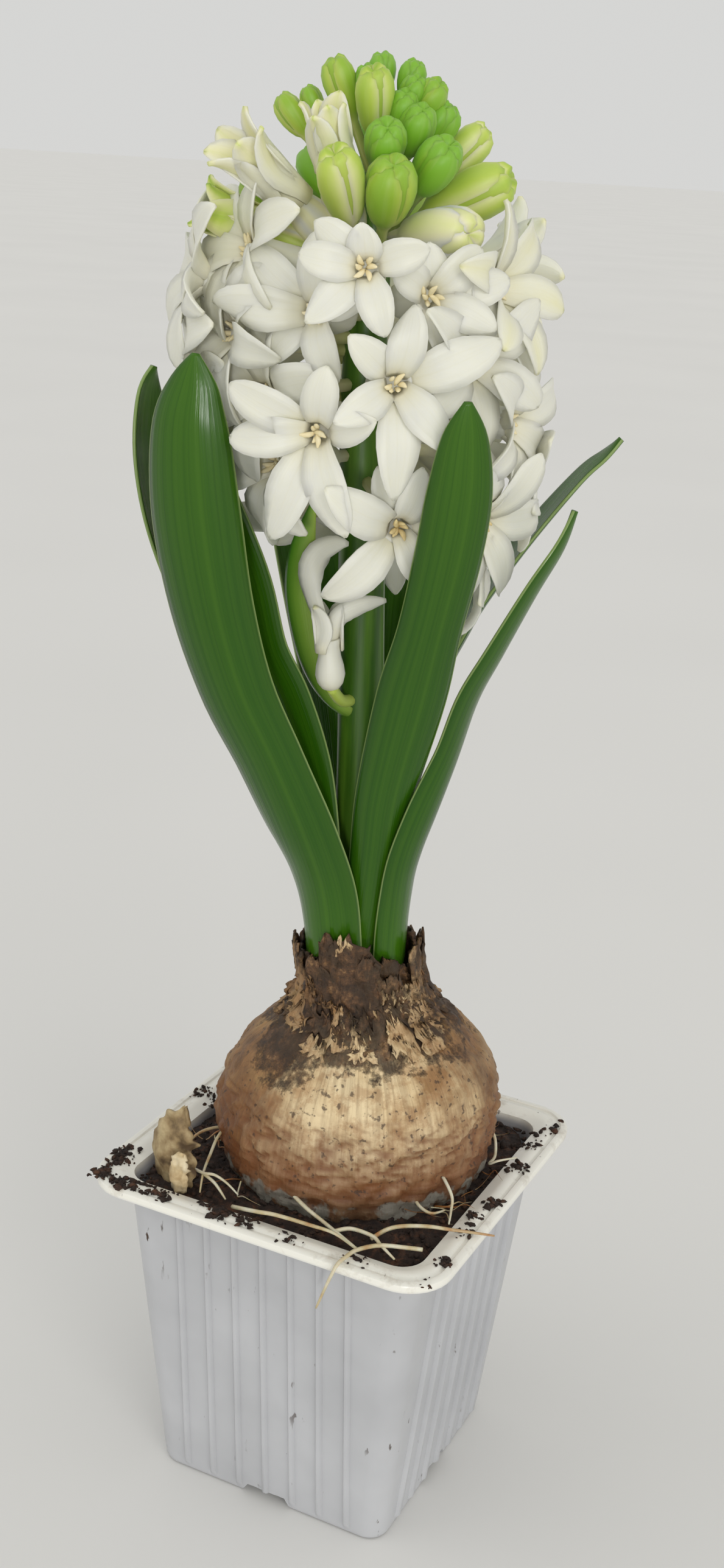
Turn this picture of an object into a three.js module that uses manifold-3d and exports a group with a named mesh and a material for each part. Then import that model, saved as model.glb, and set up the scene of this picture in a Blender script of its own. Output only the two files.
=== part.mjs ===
// A white hyacinth in flower, grown from its bulb in a square plastic pot.
// Units are millimetres and +Z is up. The origin is the middle of the underside of the pot.
import * as THREE from 'three';
import { mergeVertices } from 'three/addons/utils/BufferGeometryUtils.js';
import Module from 'manifold-3d';

const wasm = await Module();
wasm.setup();

const GAP = 0.3; // between neighbours that touch

const POT = {
  rimHalf: 40, // an 8 cm pot, measured over the rim
  baseHalf: 27.2,
  neckHalf: 34, // the wall just under the rim
  brimHalf: 35.6, // where the flat rim starts to slope inwards
  height: 73.9,
  wall: 1,
  floor: 1.6,
  lipLow: 72,
  lipThick: 0.9,
  baseCorner: 4.6,
  neckCorner: 6.2,
  brimCorner: 7.2,
  rimCorner: 9.5,
  chamfer: 0.6,
};
const RIBS = { count: 7, pitch: 6.5, foot: 2, crest: 1, rise: 0.5, low: 1.5, sunk: 0.3 };
const NOTCH = { foot: 13, top: 9, height: 2.5, deep: 9, cover: 1.6, clear: 2 };
const SOIL = { edge: 70.6, crown: 72.2, crownHalf: 27, crownCorner: 9 };

// The axis of the bulb is a little off the middle of the pot.
const BULB = { x: 1, y: 3.6, segments: 32 };
// Radius and height, from the base plate over the widest part to the neck and down into its pocket.
const BULB_PROFILE = [
  [0, 52.4], [8, 52.4], [15, 54.4], [21.5, 58.4], [26.3, 64], [28.4, 71], [30.2, 79], [30.1, 86.5],
  [28.6, 92.6], [25.6, 97.6], [21.6, 102], [17.6, 106.4], [14.4, 110.4], [13.2, 114.4], [12.9, 119.4],
  [11.9, 119.6], [11.5, 114], [11.4, 108], [0, 108],
];
// How far the bulb leans to the right at each height; its pocket leans left with the leaves.
const LEAN = [[80, 0], [94, 1.4], [105, 2], [111, 0.4], [119, -1.1]];
const NECK = { pocketRadius: 12, pocketFloor: 107, pocketLean: -1.2, ragged: 113, tornOver: 6, tear: 1.6 };

// The plant's own frame has x to the right, y to the back and turns counted from x towards the front.
const PLANT_TURN = 25.8;

const ROOTS = {
  sides: 5,
  thick: 1.2,
  paths: [
    [[0, -21, 77], [1.2, -24.6, 76.2], [6.1, -27.6, 75.6], [10.9, -29.4, 75], [16.3, -31.6, 74.6],
      [21.3, -33.6, 74.2]],
    [[-8, -32, 73.2], [-1.6, -33.8, 75.2], [2.7, -33.2, 75.5], [9.8, -32.4, 75.2], [15.2, -31.9, 74.8],
      [20.6, -33.3, 74]],
    [[22.1, -29.4, 74.6], [23.4, -25.4, 74.8], [26, -23.4, 75.4], [30.4, -21, 75.5], [34, -19.4, 75.2],
      [38, -17.8, 75], [42.6, -15.8, 74.6]],
    [[14.8, -30.8, 74.6], [17.4, -29, 75], [22.1, -29.1, 75], [24.7, -30.3, 74.4], [28.4, -31.8, 73.4]],
    [[32, -26.8, 74], [29.2, -28.4, 74.4], [24.6, -31, 74.8], [21.8, -35.2, 75.2],
      [21, -38.2, 75.1], [20.4, -40.6, 74.6], [19.6, -41.9, 72], [18.2, -41.8, 68], [16.8, -41.6, 64]],
    [[25, -6.4, 80], [28.2, -8.6, 78.8], [30.8, -10.4, 76.6], [31.6, -12.4, 74.6], [32.4, -15, 73.3]],
    [[25, 19, 78.4], [28.6, 17, 76.4], [30.6, 13, 74.2], [30.4, 10.4, 73.6], [32.6, 10.4, 75],
      [35.4, 13.6, 75]],
    [[22, -11.4, 76], [25.4, -14.6, 75.2], [28.2, -14.4, 74.2], [29.8, -11, 73.6]],
    [[-19, -12, 80], [-20.2, -17, 78.6], [-19.4, -22, 76.6], [-18, -27, 75.2], [-16.3, -31, 73.2]],
    [[-23.3, -24.5, 73.8], [-20.4, -26.4, 75], [-17.4, -27.6, 75.6], [-14.9, -27.6, 76],
      [-11.9, -27.8, 75.2], [-8.9, -28.2, 73.6]],
    [[-17.4, -27.4, 75.2], [-13.9, -29, 75], [-10.2, -31, 73.6]],
    [[-21, -8, 76], [-25.4, -11.6, 75.8], [-27.4, -15, 75], [-27.8, -18.6, 73.4]],
  ],
};

// A scrap of dried scale that stands in the soil at the left corner. Each station is the middle of
// the blade x, y, z, its width, the radius that it curls round and the turn that its back faces.
const DRY_SCALE = [
  [-24.2, -29.4, 71.9, 7.4, 9, 110],
  [-24.2, -29.8, 76, 8.6, 8, 108],
  [-23.8, -29.8, 80.5, 8.4, 7, 104],
  [-23.2, -29.4, 84.6, 7.2, 7, 100],
  [-22.4, -28.8, 87, 3.6, 7, 96],
  [-22, -28.6, 90, 1.6, 7, 96],
  [-21.8, -28.6, 93.4, 1.2, 7, 96],
];
const DRY_BLADE = { columns: 2, edge: 0.7, foot: 1.1, tip: 0.8 };
const DRY_TAN_PATCH = [
  [-21.4, -30.9, 72.2, 3.4, 5, 92],
  [-21.4, -31.6, 76, 4.4, 4, 90],
  [-21.2, -31.2, 79, 3.8, 4, 90],
  [-21, -30.4, 80.8, 1.8, 4, 90],
];

const TAN_BLADE = { columns: 2, edge: 0.9, foot: 1.8, tip: 1.4 };

// Across a blade there are this many columns. It is as thick as edge at its edges, and in its middle
// as thick as foot at its foot and tip at its tip.
const BLADE = { columns: 4, edge: 0.7, foot: 2.3, tip: 1.5 };
const LEAVES = {
  leaf_front_left: [
    [-7.3, -6.8, 108.8, 16.6, 9.4, 132], [-8.5, -7.4, 124, 17.2, 10, 130], [-10.4, -9.2, 136, 17.6, 12, 126],
    [-14.6, -13, 148.7, 17.2, 15, 120], [-20.8, -16.4, 164, 16.2, 17, 116],
    [-27.6, -19.2, 178.7, 17, 17, 114], [-32.6, -21.2, 194.8, 18.4, 17, 112],
    [-35.8, -22.6, 212, 19, 16, 110], [-36.8, -23.2, 227, 16, 14, 108],
    [-36, -22.8, 235.4, 10, 11, 106], [-35.4, -22.2, 241, 2, 8, 105],
  ],
  leaf_front_right: [
    [0.4, -6.5, 108.8, 8, 6.6, 78], [0, -6.6, 122, 8.8, 7.2, 78], [0.8, -8, 133, 10, 9, 80],
    [1.6, -10.8, 145, 11, 12, 82], [2.6, -14.4, 158.5, 12, 14, 84], [6.1, -21, 179.4, 13.6, 15, 85],
    [8.5, -26.4, 194, 12, 14, 85], [10.8, -31.4, 209, 12.4, 13, 85], [11.9, -34.6, 221, 11.8, 12, 85],
    [12, -36, 231, 8, 10, 85], [12, -36.3, 237, 2, 7, 85],
  ],
  leaf_right: [
    [6.6, -4.8, 108.8, 10.4, 9.4, 34], [6.4, -5.2, 122, 11, 9.6, 38], [6.6, -7.1, 133, 10.3, 10, 43],
    [7.5, -10.3, 143.3, 9.2, 10, 50], [10.2, -12.4, 154, 8.7, 10.5, 49], [14.5, -12.4, 166.6, 8.8, 11, 37],
    [17.8, -13.8, 178.3, 10.2, 11, 29],
    [21.8, -14.8, 187.4, 9.8, 10, 25], [27.4, -15.8, 200, 8.2, 10, 22], [31.8, -16.2, 209, 6, 9, 20],
    [33.8, -16.2, 216, 1.8, 8, 20],
  ],
  leaf_back_right: [
    [6.2, 5.6, 108.8, 9.6, 9.4, -35], [6.4, 6, 124, 10, 9.6, -33], [6.2, 7.8, 139, 9.4, 10, -28],
    [6, 9.4, 152, 9, 10, -21], [8, 10.4, 165, 9.6, 10, -14], [12, 11, 175, 10, 10, -10],
    [16.6, 11.2, 185, 10, 10, -9], [20, 11.2, 192, 9.6, 10, -9], [28.2, 11.2, 205, 8.6, 10, -9],
    [37.2, 11.2, 217.4, 6.4, 9, -9], [41.8, 11.2, 222.2, 4.4, 8, -9], [44.6, 11.2, 225.6, 1.6, 8, -9],
  ],
  leaf_far_left: [
    [-7.6, 5.4, 108.8, 9.8, 9.4, 221], [-9.3, 5.4, 124, 9.4, 9.8, 218], [-13.1, 5.1, 138, 9.2, 10, 210],
    [-17.6, 4.2, 152, 12, 11, 208], [-24.8, 2.2, 166, 12.6, 12, 206], [-32.6, -0.6, 181, 13, 12, 205],
    [-39.4, -3.2, 196, 13, 12, 205], [-44.3, -4.6, 209, 12.6, 12, 204], [-46.6, -5, 221, 11.6, 11, 204],
    [-46.4, -4.8, 231, 9, 10, 204], [-44.9, -4.6, 236.4, 2, 8, 204],
  ],
  leaf_left: [
    [-7, -2.8, 108.8, 8, 6.6, 154], [-7.9, -3.1, 124, 8.8, 7, 152], [-9.4, -4.6, 139, 10.6, 9, 146],
    [-12.3, -7, 153.7, 13, 11, 138], [-15, -8.2, 164, 14, 12, 134], [-19, -9.2, 175, 14, 12, 132],
    [-23.8, -10, 184.6, 14, 12, 131], [-27.4, -10, 197.4, 14, 12, 130], [-32.4, -9.6, 210, 13, 12, 130],
    [-36.2, -9, 220, 10, 10, 130], [-38, -8.8, 227, 2, 8, 130],
  ],
  leaf_back_left: [
    [-2.4, 6.4, 108.8, 6.6, 6.6, 255], [-3.9, 6.8, 124, 7, 7.2, 254], [-5, 9.8, 139, 8, 9, 255],
    [-7, 14.4, 155, 12, 12, 255], [-9.6, 20, 172, 15, 14, 256], [-14, 26.6, 190, 16.4, 15, 254],
    [-18, 32, 205, 15.6, 14, 252], [-20.6, 35, 217, 11, 11, 252], [-21.4, 36, 224, 2, 8, 252],
  ],
  leaf_back: [
    [3.6, 4.2, 108.8, 6, 6.6, 321], [3.4, 4.8, 124, 6.4, 7.2, 316], [2.8, 7.7, 139, 6.4, 9, 301],
    [1, 11.4, 153, 7, 10, 285], [0.6, 16.6, 171, 9.6, 12, 276], [1, 22.4, 190, 11, 12, 274],
    [1.8, 27.4, 206, 9, 11, 274], [2.2, 29.8, 216, 2, 9, 274],
  ],
};

const STALK = {
  sides: 9,
  path: [
    [-1.7, 0, 108.8], [-2.8, 0, 160], [-3.9, 0, 184], [-5, 0, 209], [-6.1, 0, 236], [-5.6, 0, 262],
    [-5.4, 0, 284],
  ],
  radii: [4.5, 4.7, 4.6, 4.5, 4.2, 3.2, 1.4],
};
// A narrow leaf-like bract grows from the stalk below the flowers.
const BRACT = [
  [-3.8, -2, 170.4, 2.6, 4, 120], [-7, -4.6, 172.2, 3.4, 4, 125], [-10.8, -6.8, 176.6, 5, 5, 125],
  [-13.6, -8.4, 183, 5.6, 6, 120], [-15.4, -10, 191, 5.8, 6, 115], [-16.2, -11, 198, 5.6, 6, 110],
  [-15.8, -11.2, 205, 4.4, 6, 105], [-14, -11, 214, 1.4, 5, 100],
];
const BRACT_BLADE = { columns: 2, edge: 0.6, foot: 1.6, tip: 1 };

// An open flower: the radii of its stem, bulge and mouth, how far back the stem and the bulge lie, how
// deep its throat is, the band that the lobes grow from, and the length and half width of the lobes.
// The lobes leave the axis at one angle and end at another.
const FLORET = {
  stem: 1.2, bulge: 2.8, mouth: 3.2, band: 1.1, pit: 2.2, bulgeBack: 11, stemBack: 15,
  lobe: 14, lobeHalf: 3, leaves: 40, ends: 122, odd: 0.04,
};
// What differs in a flower that is only half open: its bell is deeper and its lobes are free for less.
const HALF_OPEN = { mouth: 4.4, forward: 3.5, lobe: 7.5, lobeHalf: 2.1, leaves: 0, ends: 20 };
// Where a lobe has its two sections, how wide they are, and how far its back stands out as a keel.
const LOBE = { sections: [[0.42, 1], [0.78, 0.8]], keel: 1, steps: 12 };
// Each ring of a bud is a distance behind its middle and a radius.
const BUD = {
  sides: 6, half: 5.25, stem: 0.9, rings: [[5.25, 1.2], [1.84, 3.53], [-1.05, 4.1], [-3.68, 2.79]],
};
const BUD_BELOW = 0.3; // a flower less open than this is a closed bud
const ROOT_SUNK = 1; // how near to the middle of the stalk a flower's stem begins

// Flowers that face the front, one row each: the turn that they face, the height and the distance
// from the stalk of the mouth, how far they look up, how open they are (0 bud to 1 open), the turn of
// the first lobe, and for some the turn and length of each lobe.
const FRONT = [
  [91.4, 257.4, 31, 6, 1, 0, [[21, 9], [92, 5], [136, 9], [178, 9.5], [225, 11], [291, 10]]],
  [79.2, 238.5, 31, 2, 1, 0, [[23, 18], [83, 11.5], [134, 10], [210, 11], [273, 17], [316, 12.5]]],
  [104.7, 229.3, 30, -6, 1, 0, [[14, 10], [76, 11], [147, 15], [182, 13], [250, 18.5], [289, 16.5]]],
  [74.7, 212.9, 27, -10, 1, 0, [[20, 12], [73, 10], [113, 10], [156, 16.5], [224, 17], [300, 10]]],
  [67.6, 253, 28, 8, 1, 0, [[7, 12.5], [43, 10.5], [95, 9], [150, 9], [282, 9], [328, 10]]],
  [158, 254.3, 30, 12, 1, 40],
  [124, 247.9, 28, 4, 1, 10],
  [38, 213.3, 28, -10, 1, 0],
  [26, 230.6, 30, 0, 1, 25],
  [32, 254, 26, 14, 0.9, 45],
  [48, 242, 28, 4, 1, 30],
  [136, 221, 26, 0, 1, 15],
  [172, 238.8, 30, 4, 1, 35],
  [134, 262, 22, 22, 0.8, 20],
  [52, 259.8, 15, 22, 0.45, 10],
  [150, 269.4, 19, 38, 0.5, 30],
  [168, 261, 19, 18, 0.3, 0],
  [128, 274, 12, 56, 0.45, 30],
  [104, 269.4, 17.5, 46, 0.2, 10],
  [84, 270, 14, 60, 0, 0],
  [84, 279.4, 9, 66, 0, 30],
  [48, 272.6, 14, 50, 0, 10],
  [36, 279.4, 9, 62, 0, 40],
  [27, 272.6, 15, 46, 0.25, 0],
  [16, 267, 17, 30, 0.35, 20],
  [100, 287.6, 2, 82, 0, 0],
  [40, 285.6, 5, 74, 0, 20],
  [28, 278.4, 10, 62, 0.1, 0],
  [100, 283, 6, 70, 0.15, 0],
  [145, 284, 6.4, 70, 0.1, 15],
  [165, 280.4, 11, 62, 0.15, 0],
  [176, 276, 14.4, 58, 0.2, 20],
];
// The lowest flower hangs on a stem of its own and looks up along the stalk.
const LOWEST = {
  stem: [-4, -2, 174], base: [-9.2, -8.8, 178.6], mouth: [-11.2, -11.4, 189.4],
  lobes: [[10, 13], [70, 7], [120, 14], [200, 7], [260, 7], [320, 8]],
  open: 0.75, radii: [1.4, 1.6, 2], sides: 6,
};
// The others follow a spiral, each kept clear of those already placed.
const SPIRAL = {
  step: 137.5, low: 203, high: 285, tries: 150, spacing: 15.4, budSpacing: 8.6,
  loose: 2, looseTurn: 10, seed: 7,
};
// Up to a height the flowers reach out in full, and then less and less up to the top. The lowest ones
// look down a little and the topmost nearly straight up, and those above the opening height open less.
const HABIT = {
  low: 200, full: 248, top: 288, reach: 29, topReach: 3, taper: 1.2, lowRise: -12, fullRise: 6, topRise: 76,
  opening: 250, closedOver: 18,
};

const COLOURS = {
  pot: 0xdcdde2, soil: 0x35241b, bulb: 0xb08a5e, scale: 0x7a5a3a, leaf: 0x38701f, flower: 0xf1eedd,
};

function at(x, y, z) {
  return new THREE.Vector3(x, y, z);
}

function randomFrom(seed) {
  let state = seed;
  return () => {
    state = (1664525 * state + 1013904223) % 4294967296;
    return state / 4294967296;
  };
}

function between(a, b, share) {
  return a + (b - a) * Math.min(1, Math.max(0, share));
}

function skin(points, faces) {
  const geometry = new THREE.BufferGeometry().setFromPoints(points);
  geometry.setIndex(faces);
  return geometry;
}

// A closed skin over rings of points with the same count, ended by a flat cap or by a tip.
function loft(rings, tip) {
  const count = rings[0].length;
  const points = rings.flat();
  const faces = [];
  for (let ring = 0; ring < rings.length - 1; ring++) {
    for (let side = 0; side < count; side++) {
      const a = ring * count + side;
      const b = ring * count + (side + 1) % count;
      faces.push(a, b, b + count, a, b + count, a + count);
    }
  }
  for (let side = 1; side < count - 1; side++) faces.push(0, side + 1, side);
  const last = (rings.length - 1) * count;
  if (tip) {
    points.push(tip);
    const end = points.length - 1;
    for (let side = 0; side < count; side++) faces.push(last + side, last + (side + 1) % count, end);
  } else {
    for (let side = 1; side < count - 1; side++) faces.push(last, last + side, last + side + 1);
  }
  return skin(points, faces);
}

// Merges shared points, drops faces without area and turns the faces outwards.
function closed(source) {
  const bare = new THREE.BufferGeometry();
  bare.setAttribute('position', source.getAttribute('position'));
  bare.setIndex(source.getIndex());
  const geometry = mergeVertices(bare, 1e-4);
  const all = Array.from(geometry.getIndex().array);
  const position = geometry.getAttribute('position');
  const [a, b, c] = [at(), at(), at()];
  const faces = [];
  let volume = 0;
  for (let i = 0; i < all.length; i += 3) {
    const [p, q, r] = all.slice(i, i + 3);
    if (p === q || q === r || r === p) continue;
    faces.push(p, q, r);
    a.fromBufferAttribute(position, p);
    b.fromBufferAttribute(position, q);
    c.fromBufferAttribute(position, r);
    volume += a.dot(b.cross(c));
  }
  geometry.setIndex(volume < 0 ? faces.reverse() : faces);
  return geometry;
}

function solid(geometry) {
  const body = closed(geometry);
  return new wasm.Manifold(new wasm.Mesh({
    numProp: 3,
    vertProperties: new Float32Array(body.getAttribute('position').array),
    triVerts: new Uint32Array(body.getIndex().array),
  }));
}

function surface(body) {
  const { vertProperties, triVerts } = body.getMesh();
  const geometry = new THREE.BufferGeometry();
  geometry.setAttribute('position', new THREE.BufferAttribute(vertProperties, 3));
  geometry.setIndex(new THREE.BufferAttribute(triVerts, 1));
  return geometry;
}

function join(bodies) {
  return bodies.reduce((whole, body) => whole.add(body));
}

function squareRing(half, corner, z, steps = 4) {
  const ring = [];
  for (let quarter = 0; quarter < 4; quarter++) {
    for (let step = 0; step <= steps; step++) {
      const angle = (quarter + step / steps) * Math.PI / 2;
      const [sx, sy] = [[1, 1], [-1, 1], [-1, -1], [1, -1]][quarter];
      const straight = half - corner;
      ring.push(at(sx * straight + corner * Math.cos(angle), sy * straight + corner * Math.sin(angle), z));
    }
  }
  return ring;
}

// Half the outer width of the pot's wall at a height.
function wallAt(z) {
  return between(POT.baseHalf, POT.neckHalf, z / POT.lipLow);
}

function box(x0, x1, y0, y1, z0, z1) {
  const ring = (z) => [at(x0, y0, z), at(x1, y0, z), at(x1, y1, z), at(x0, y1, z)];
  return loft([ring(z0), ring(z1)]);
}

function fourSides(make) {
  return [0, 1, 2, 3].map((side) => solid(make().rotateZ(side * Math.PI / 2)));
}

function notchCover(extra) {
  const half = NOTCH.foot / 2 + NOTCH.cover + extra;
  const inner = -POT.baseHalf + NOTCH.deep + NOTCH.cover + extra;
  return box(-half, half, -POT.baseHalf - NOTCH.clear, inner, 0, NOTCH.height + NOTCH.cover + extra);
}

function notch() {
  const out = -POT.baseHalf - NOTCH.clear;
  const inner = -POT.baseHalf + NOTCH.deep;
  const ring = (half, z) => [at(-half, out, z), at(half, out, z), at(half, inner, z), at(-half, inner, z)];
  const slope = (NOTCH.foot - NOTCH.top) / 2 / NOTCH.height;
  return loft([ring(NOTCH.foot / 2 + slope, -1), ring(NOTCH.top / 2, NOTCH.height)]);
}

function rib(x) {
  const ring = (z) => {
    const wall = -wallAt(z);
    return [
      at(x - RIBS.foot / 2, wall + POT.wall / 2, z), at(x - RIBS.crest / 2, wall - RIBS.rise, z),
      at(x + RIBS.crest / 2, wall - RIBS.rise, z), at(x + RIBS.foot / 2, wall + POT.wall / 2, z),
    ];
  };
  return loft([ring(RIBS.low), ring(POT.lipLow + POT.lipThick + RIBS.sunk)]);
}

function cavityRing(z, inset) {
  const corner = between(POT.baseCorner, POT.neckCorner, z / POT.lipLow);
  return squareRing(wallAt(z) - POT.wall - inset, corner - POT.wall, z);
}

function makePot() {
  const under = POT.lipLow + POT.lipThick;
  const outer = loft([
    squareRing(POT.baseHalf, POT.baseCorner, 0),
    squareRing(POT.neckHalf, POT.neckCorner, under),
    squareRing(POT.rimHalf - POT.lipThick, POT.rimCorner - POT.lipThick, under),
    squareRing(POT.rimHalf - POT.lipThick, POT.rimCorner - POT.lipThick, POT.lipLow),
    squareRing(POT.rimHalf, POT.rimCorner, POT.lipLow),
    squareRing(POT.rimHalf, POT.rimCorner, POT.height - POT.chamfer),
    squareRing(POT.rimHalf - POT.chamfer, POT.rimCorner - POT.chamfer, POT.height),
  ]);
  const cavity = loft([
    cavityRing(POT.floor, 0),
    cavityRing(POT.lipLow - POT.wall, 0),
    squareRing(POT.neckHalf - POT.wall, POT.neckCorner - POT.wall, under),
    squareRing(POT.brimHalf, POT.brimCorner, POT.height),
    squareRing(POT.brimHalf, POT.brimCorner, POT.height + POT.wall),
  ]);
  const first = -(RIBS.count - 1) / 2 * RIBS.pitch;
  const across = Array.from({ length: RIBS.count }, (_, i) => first + i * RIBS.pitch);
  const ribs = across.flatMap((x) => fourSides(() => rib(x)));
  const hollow = solid(cavity).subtract(join(fourSides(() => notchCover(0))));
  return join([solid(outer), ...ribs]).subtract(hollow).subtract(join(fourSides(notch)));
}

function makeSoil(bulb) {
  const filling = solid(loft([
    cavityRing(POT.floor + GAP, GAP),
    cavityRing(SOIL.edge, GAP),
    squareRing(SOIL.crownHalf, SOIL.crownCorner, SOIL.crown),
  ]));
  return filling.subtract(join(fourSides(() => notchCover(GAP)))).subtract(bulb);
}

function leanAt(z) {
  const after = LEAN.findIndex(([height]) => height > z);
  if (after < 1) return after < 0 ? LEAN[LEAN.length - 1][1] : LEAN[0][1];
  const [[z0, lean0], [z1, lean1]] = LEAN.slice(after - 1, after + 1);
  return between(lean0, lean1, (z - z0) / (z1 - z0));
}

// The bulb leans, and the papery edge of its neck is torn.
function shapeBulb(geometry) {
  const position = geometry.getAttribute('position');
  for (let i = 0; i < position.count; i++) {
    const p = at().fromBufferAttribute(position, i);
    const angle = Math.atan2(p.y, p.x);
    const radius = Math.hypot(p.x, p.y);
    const tear = Math.sin(3 * angle + 0.6) + 0.6 * Math.sin(7 * angle + 2) + 0.5 * Math.sin(5 * angle);
    const torn = radius > 1 ? between(0, NECK.tear, (p.z - NECK.ragged) / NECK.tornOver) * tear : 0;
    const lean = p.z > NECK.pocketFloor && radius < NECK.pocketRadius ? NECK.pocketLean : leanAt(p.z);
    position.setXYZ(i, p.x + lean, p.y, p.z + torn);
  }
  return geometry;
}

function bulbSkin(extra) {
  const profile = BULB_PROFILE.map(([radius, z]) => new THREE.Vector2(radius > 0 ? radius + extra : 0, z));
  return new THREE.LatheGeometry(profile, BULB.segments).rotateX(Math.PI / 2);
}

// Frames that travel along a path without twisting.
function alongPath(points) {
  let side = null;
  return points.map((point, i) => {
    const next = points[Math.min(i + 1, points.length - 1)];
    const before = points[Math.max(i - 1, 0)];
    const ahead = next.clone().sub(before).normalize();
    side = side ?? at(1, 0, 0).cross(ahead).normalize();
    side = side.clone().addScaledVector(ahead, -side.dot(ahead)).normalize();
    return { point, ahead, side, other: ahead.clone().cross(side) };
  });
}

function tube(points, radii, sides) {
  return loft(alongPath(points).map(({ point, side, other }, i) => Array.from({ length: sides }, (_, k) => {
    const angle = 2 * Math.PI * k / sides;
    const [along, aside] = [radii[i] * Math.cos(angle), radii[i] * Math.sin(angle)];
    return point.clone().addScaledVector(side, along).addScaledVector(other, aside);
  })));
}

function rootTube(path) {
  const radius = ROOTS.thick / 2;
  const points = path.map(([x, y, z]) => at(x, y, z));
  return tube(points, points.map((_, i) => i === points.length - 1 ? radius * 0.6 : radius), ROOTS.sides);
}

// A leaf blade with two skins, thick along its middle and thin at its edges, curled round its length.
function blade(stations, { columns, edge, foot, tip }, extra = 0) {
  const middles = stations.map(([x, y, z]) => at(x, y, z));
  const points = [];
  const faces = [];
  const wide = columns + 1;
  alongPath(middles).forEach(({ point, ahead }, i) => {
    const [, , , width, curl, turn] = stations[i];
    if (i === 0) point.addScaledVector(ahead, -extra);
    if (i === stations.length - 1) point.addScaledVector(ahead, extra);
    const facing = THREE.MathUtils.degToRad(turn);
    const back = at(Math.cos(facing), -Math.sin(facing), 0);
    back.addScaledVector(ahead, -back.dot(ahead)).normalize();
    const across = ahead.clone().cross(back);
    const thick = between(foot, tip, i / (stations.length - 1));
    for (const skinSide of [1, -1]) {
      for (let column = 0; column < wide; column++) {
        const share = 2 * column / columns - 1;
        const half = (edge + (thick - edge) * (1 - share * share)) / 2 + extra;
        const bend = share * (width / 2 + extra) / curl;
        const reach = curl + skinSide * half;
        const place = point.clone().addScaledVector(back, reach * Math.cos(bend) - curl);
        points.push(place.addScaledVector(across, reach * Math.sin(bend)));
      }
    }
  });
  const quad = (a, b, c, d) => faces.push(a, b, c, a, c, d);
  const row = (i) => i * 2 * wide;
  for (let i = 0; i < stations.length - 1; i++) {
    for (let column = 0; column < columns; column++) {
      const [a, b] = [row(i) + column, row(i + 1) + column];
      quad(a, a + 1, b + 1, b);
      faces.push(a + wide, b + wide + 1, a + wide + 1, a + wide, b + wide, b + wide + 1);
    }
    quad(row(i), row(i + 1), row(i + 1) + wide, row(i) + wide);
    quad(row(i) + columns, row(i) + wide + columns, row(i + 1) + wide + columns, row(i + 1) + columns);
  }
  const last = row(stations.length - 1);
  for (let column = 0; column < columns; column++) {
    quad(column, column + wide, column + wide + 1, column + 1);
    quad(last + column, last + column + 1, last + column + wide + 1, last + column + wide);
  }
  return skin(points, faces);
}

function stalkAt(z) {
  const { path } = STALK;
  let i = 0;
  while (i < path.length - 2 && path[i + 1][2] < z) i++;
  const share = (z - path[i][2]) / (path[i + 1][2] - path[i][2]);
  return at(between(path[i][0], path[i + 1][0], share), 0, z);
}

function axes(foot, mouth) {
  const out = mouth.clone().sub(foot).normalize();
  const right = at(0, 0, 1).cross(out).normalize();
  return { foot, mouth, out, right, top: out.clone().cross(right) };
}

// The mouth of a flower, the point of the stalk that it grows from and the directions around its axis.
function seat([turn, height, reach, rise]) {
  const facing = THREE.MathUtils.degToRad(turn);
  const climb = Math.tan(THREE.MathUtils.degToRad(rise)) * reach;
  const foot = stalkAt(height - climb);
  return axes(foot, foot.clone().add(at(Math.cos(facing) * reach, -Math.sin(facing) * reach, climb)));
}

function roundSide({ right, top }, turn) {
  const angle = THREE.MathUtils.degToRad(turn);
  return right.clone().multiplyScalar(Math.cos(angle)).addScaledVector(top, Math.sin(angle));
}

// The sections of one lobe, flat in front and keeled behind. It leaves the mouth and curls outwards.
function lobeSections(place, start, turn, length, open) {
  const side = roundSide(place, turn);
  const across = place.out.clone().cross(side);
  const leaves = THREE.MathUtils.degToRad(between(HALF_OPEN.leaves, FLORET.leaves, open));
  const ends = THREE.MathUtils.degToRad(between(HALF_OPEN.ends, FLORET.ends, open));
  const lean = (share) => leaves + (ends - leaves) * share;
  const centre = (share) => {
    const step = share / LOBE.steps;
    const p = start.clone();
    for (let k = 0; k < LOBE.steps; k++) {
      const angle = lean(step * (k + 0.5));
      p.addScaledVector(side, length * step * Math.sin(angle));
      p.addScaledVector(place.out, length * step * Math.cos(angle));
    }
    return p;
  };
  const halfWidth = between(HALF_OPEN.lobeHalf, FLORET.lobeHalf, open);
  const sections = LOBE.sections.map(([share, width]) => {
    const angle = lean(share);
    const under = side.clone().multiplyScalar(Math.cos(angle)).addScaledVector(place.out, -Math.sin(angle));
    const middle = centre(share);
    return [
      middle.clone().addScaledVector(across, -halfWidth * width),
      middle.clone().addScaledVector(across, halfWidth * width),
      middle.clone().addScaledVector(under, LOBE.keel),
    ];
  });
  return { sections, tip: centre(1) };
}

function bud(place, open, twist) {
  const whole = place.foot.distanceTo(place.mouth) - ROOT_SUNK;
  const rings = [[whole, BUD.stem], ...BUD.rings].map(([back, radius]) => (
    Array.from({ length: BUD.sides }, (_, k) => place.mouth.clone()
      .addScaledVector(place.out, -Math.min(back, whole))
      .addScaledVector(roundSide(place, twist + 360 * k / BUD.sides), radius))
  ));
  return loft(rings, place.mouth.clone().addScaledVector(place.out, BUD.half * (1 + open)));
}

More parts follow.
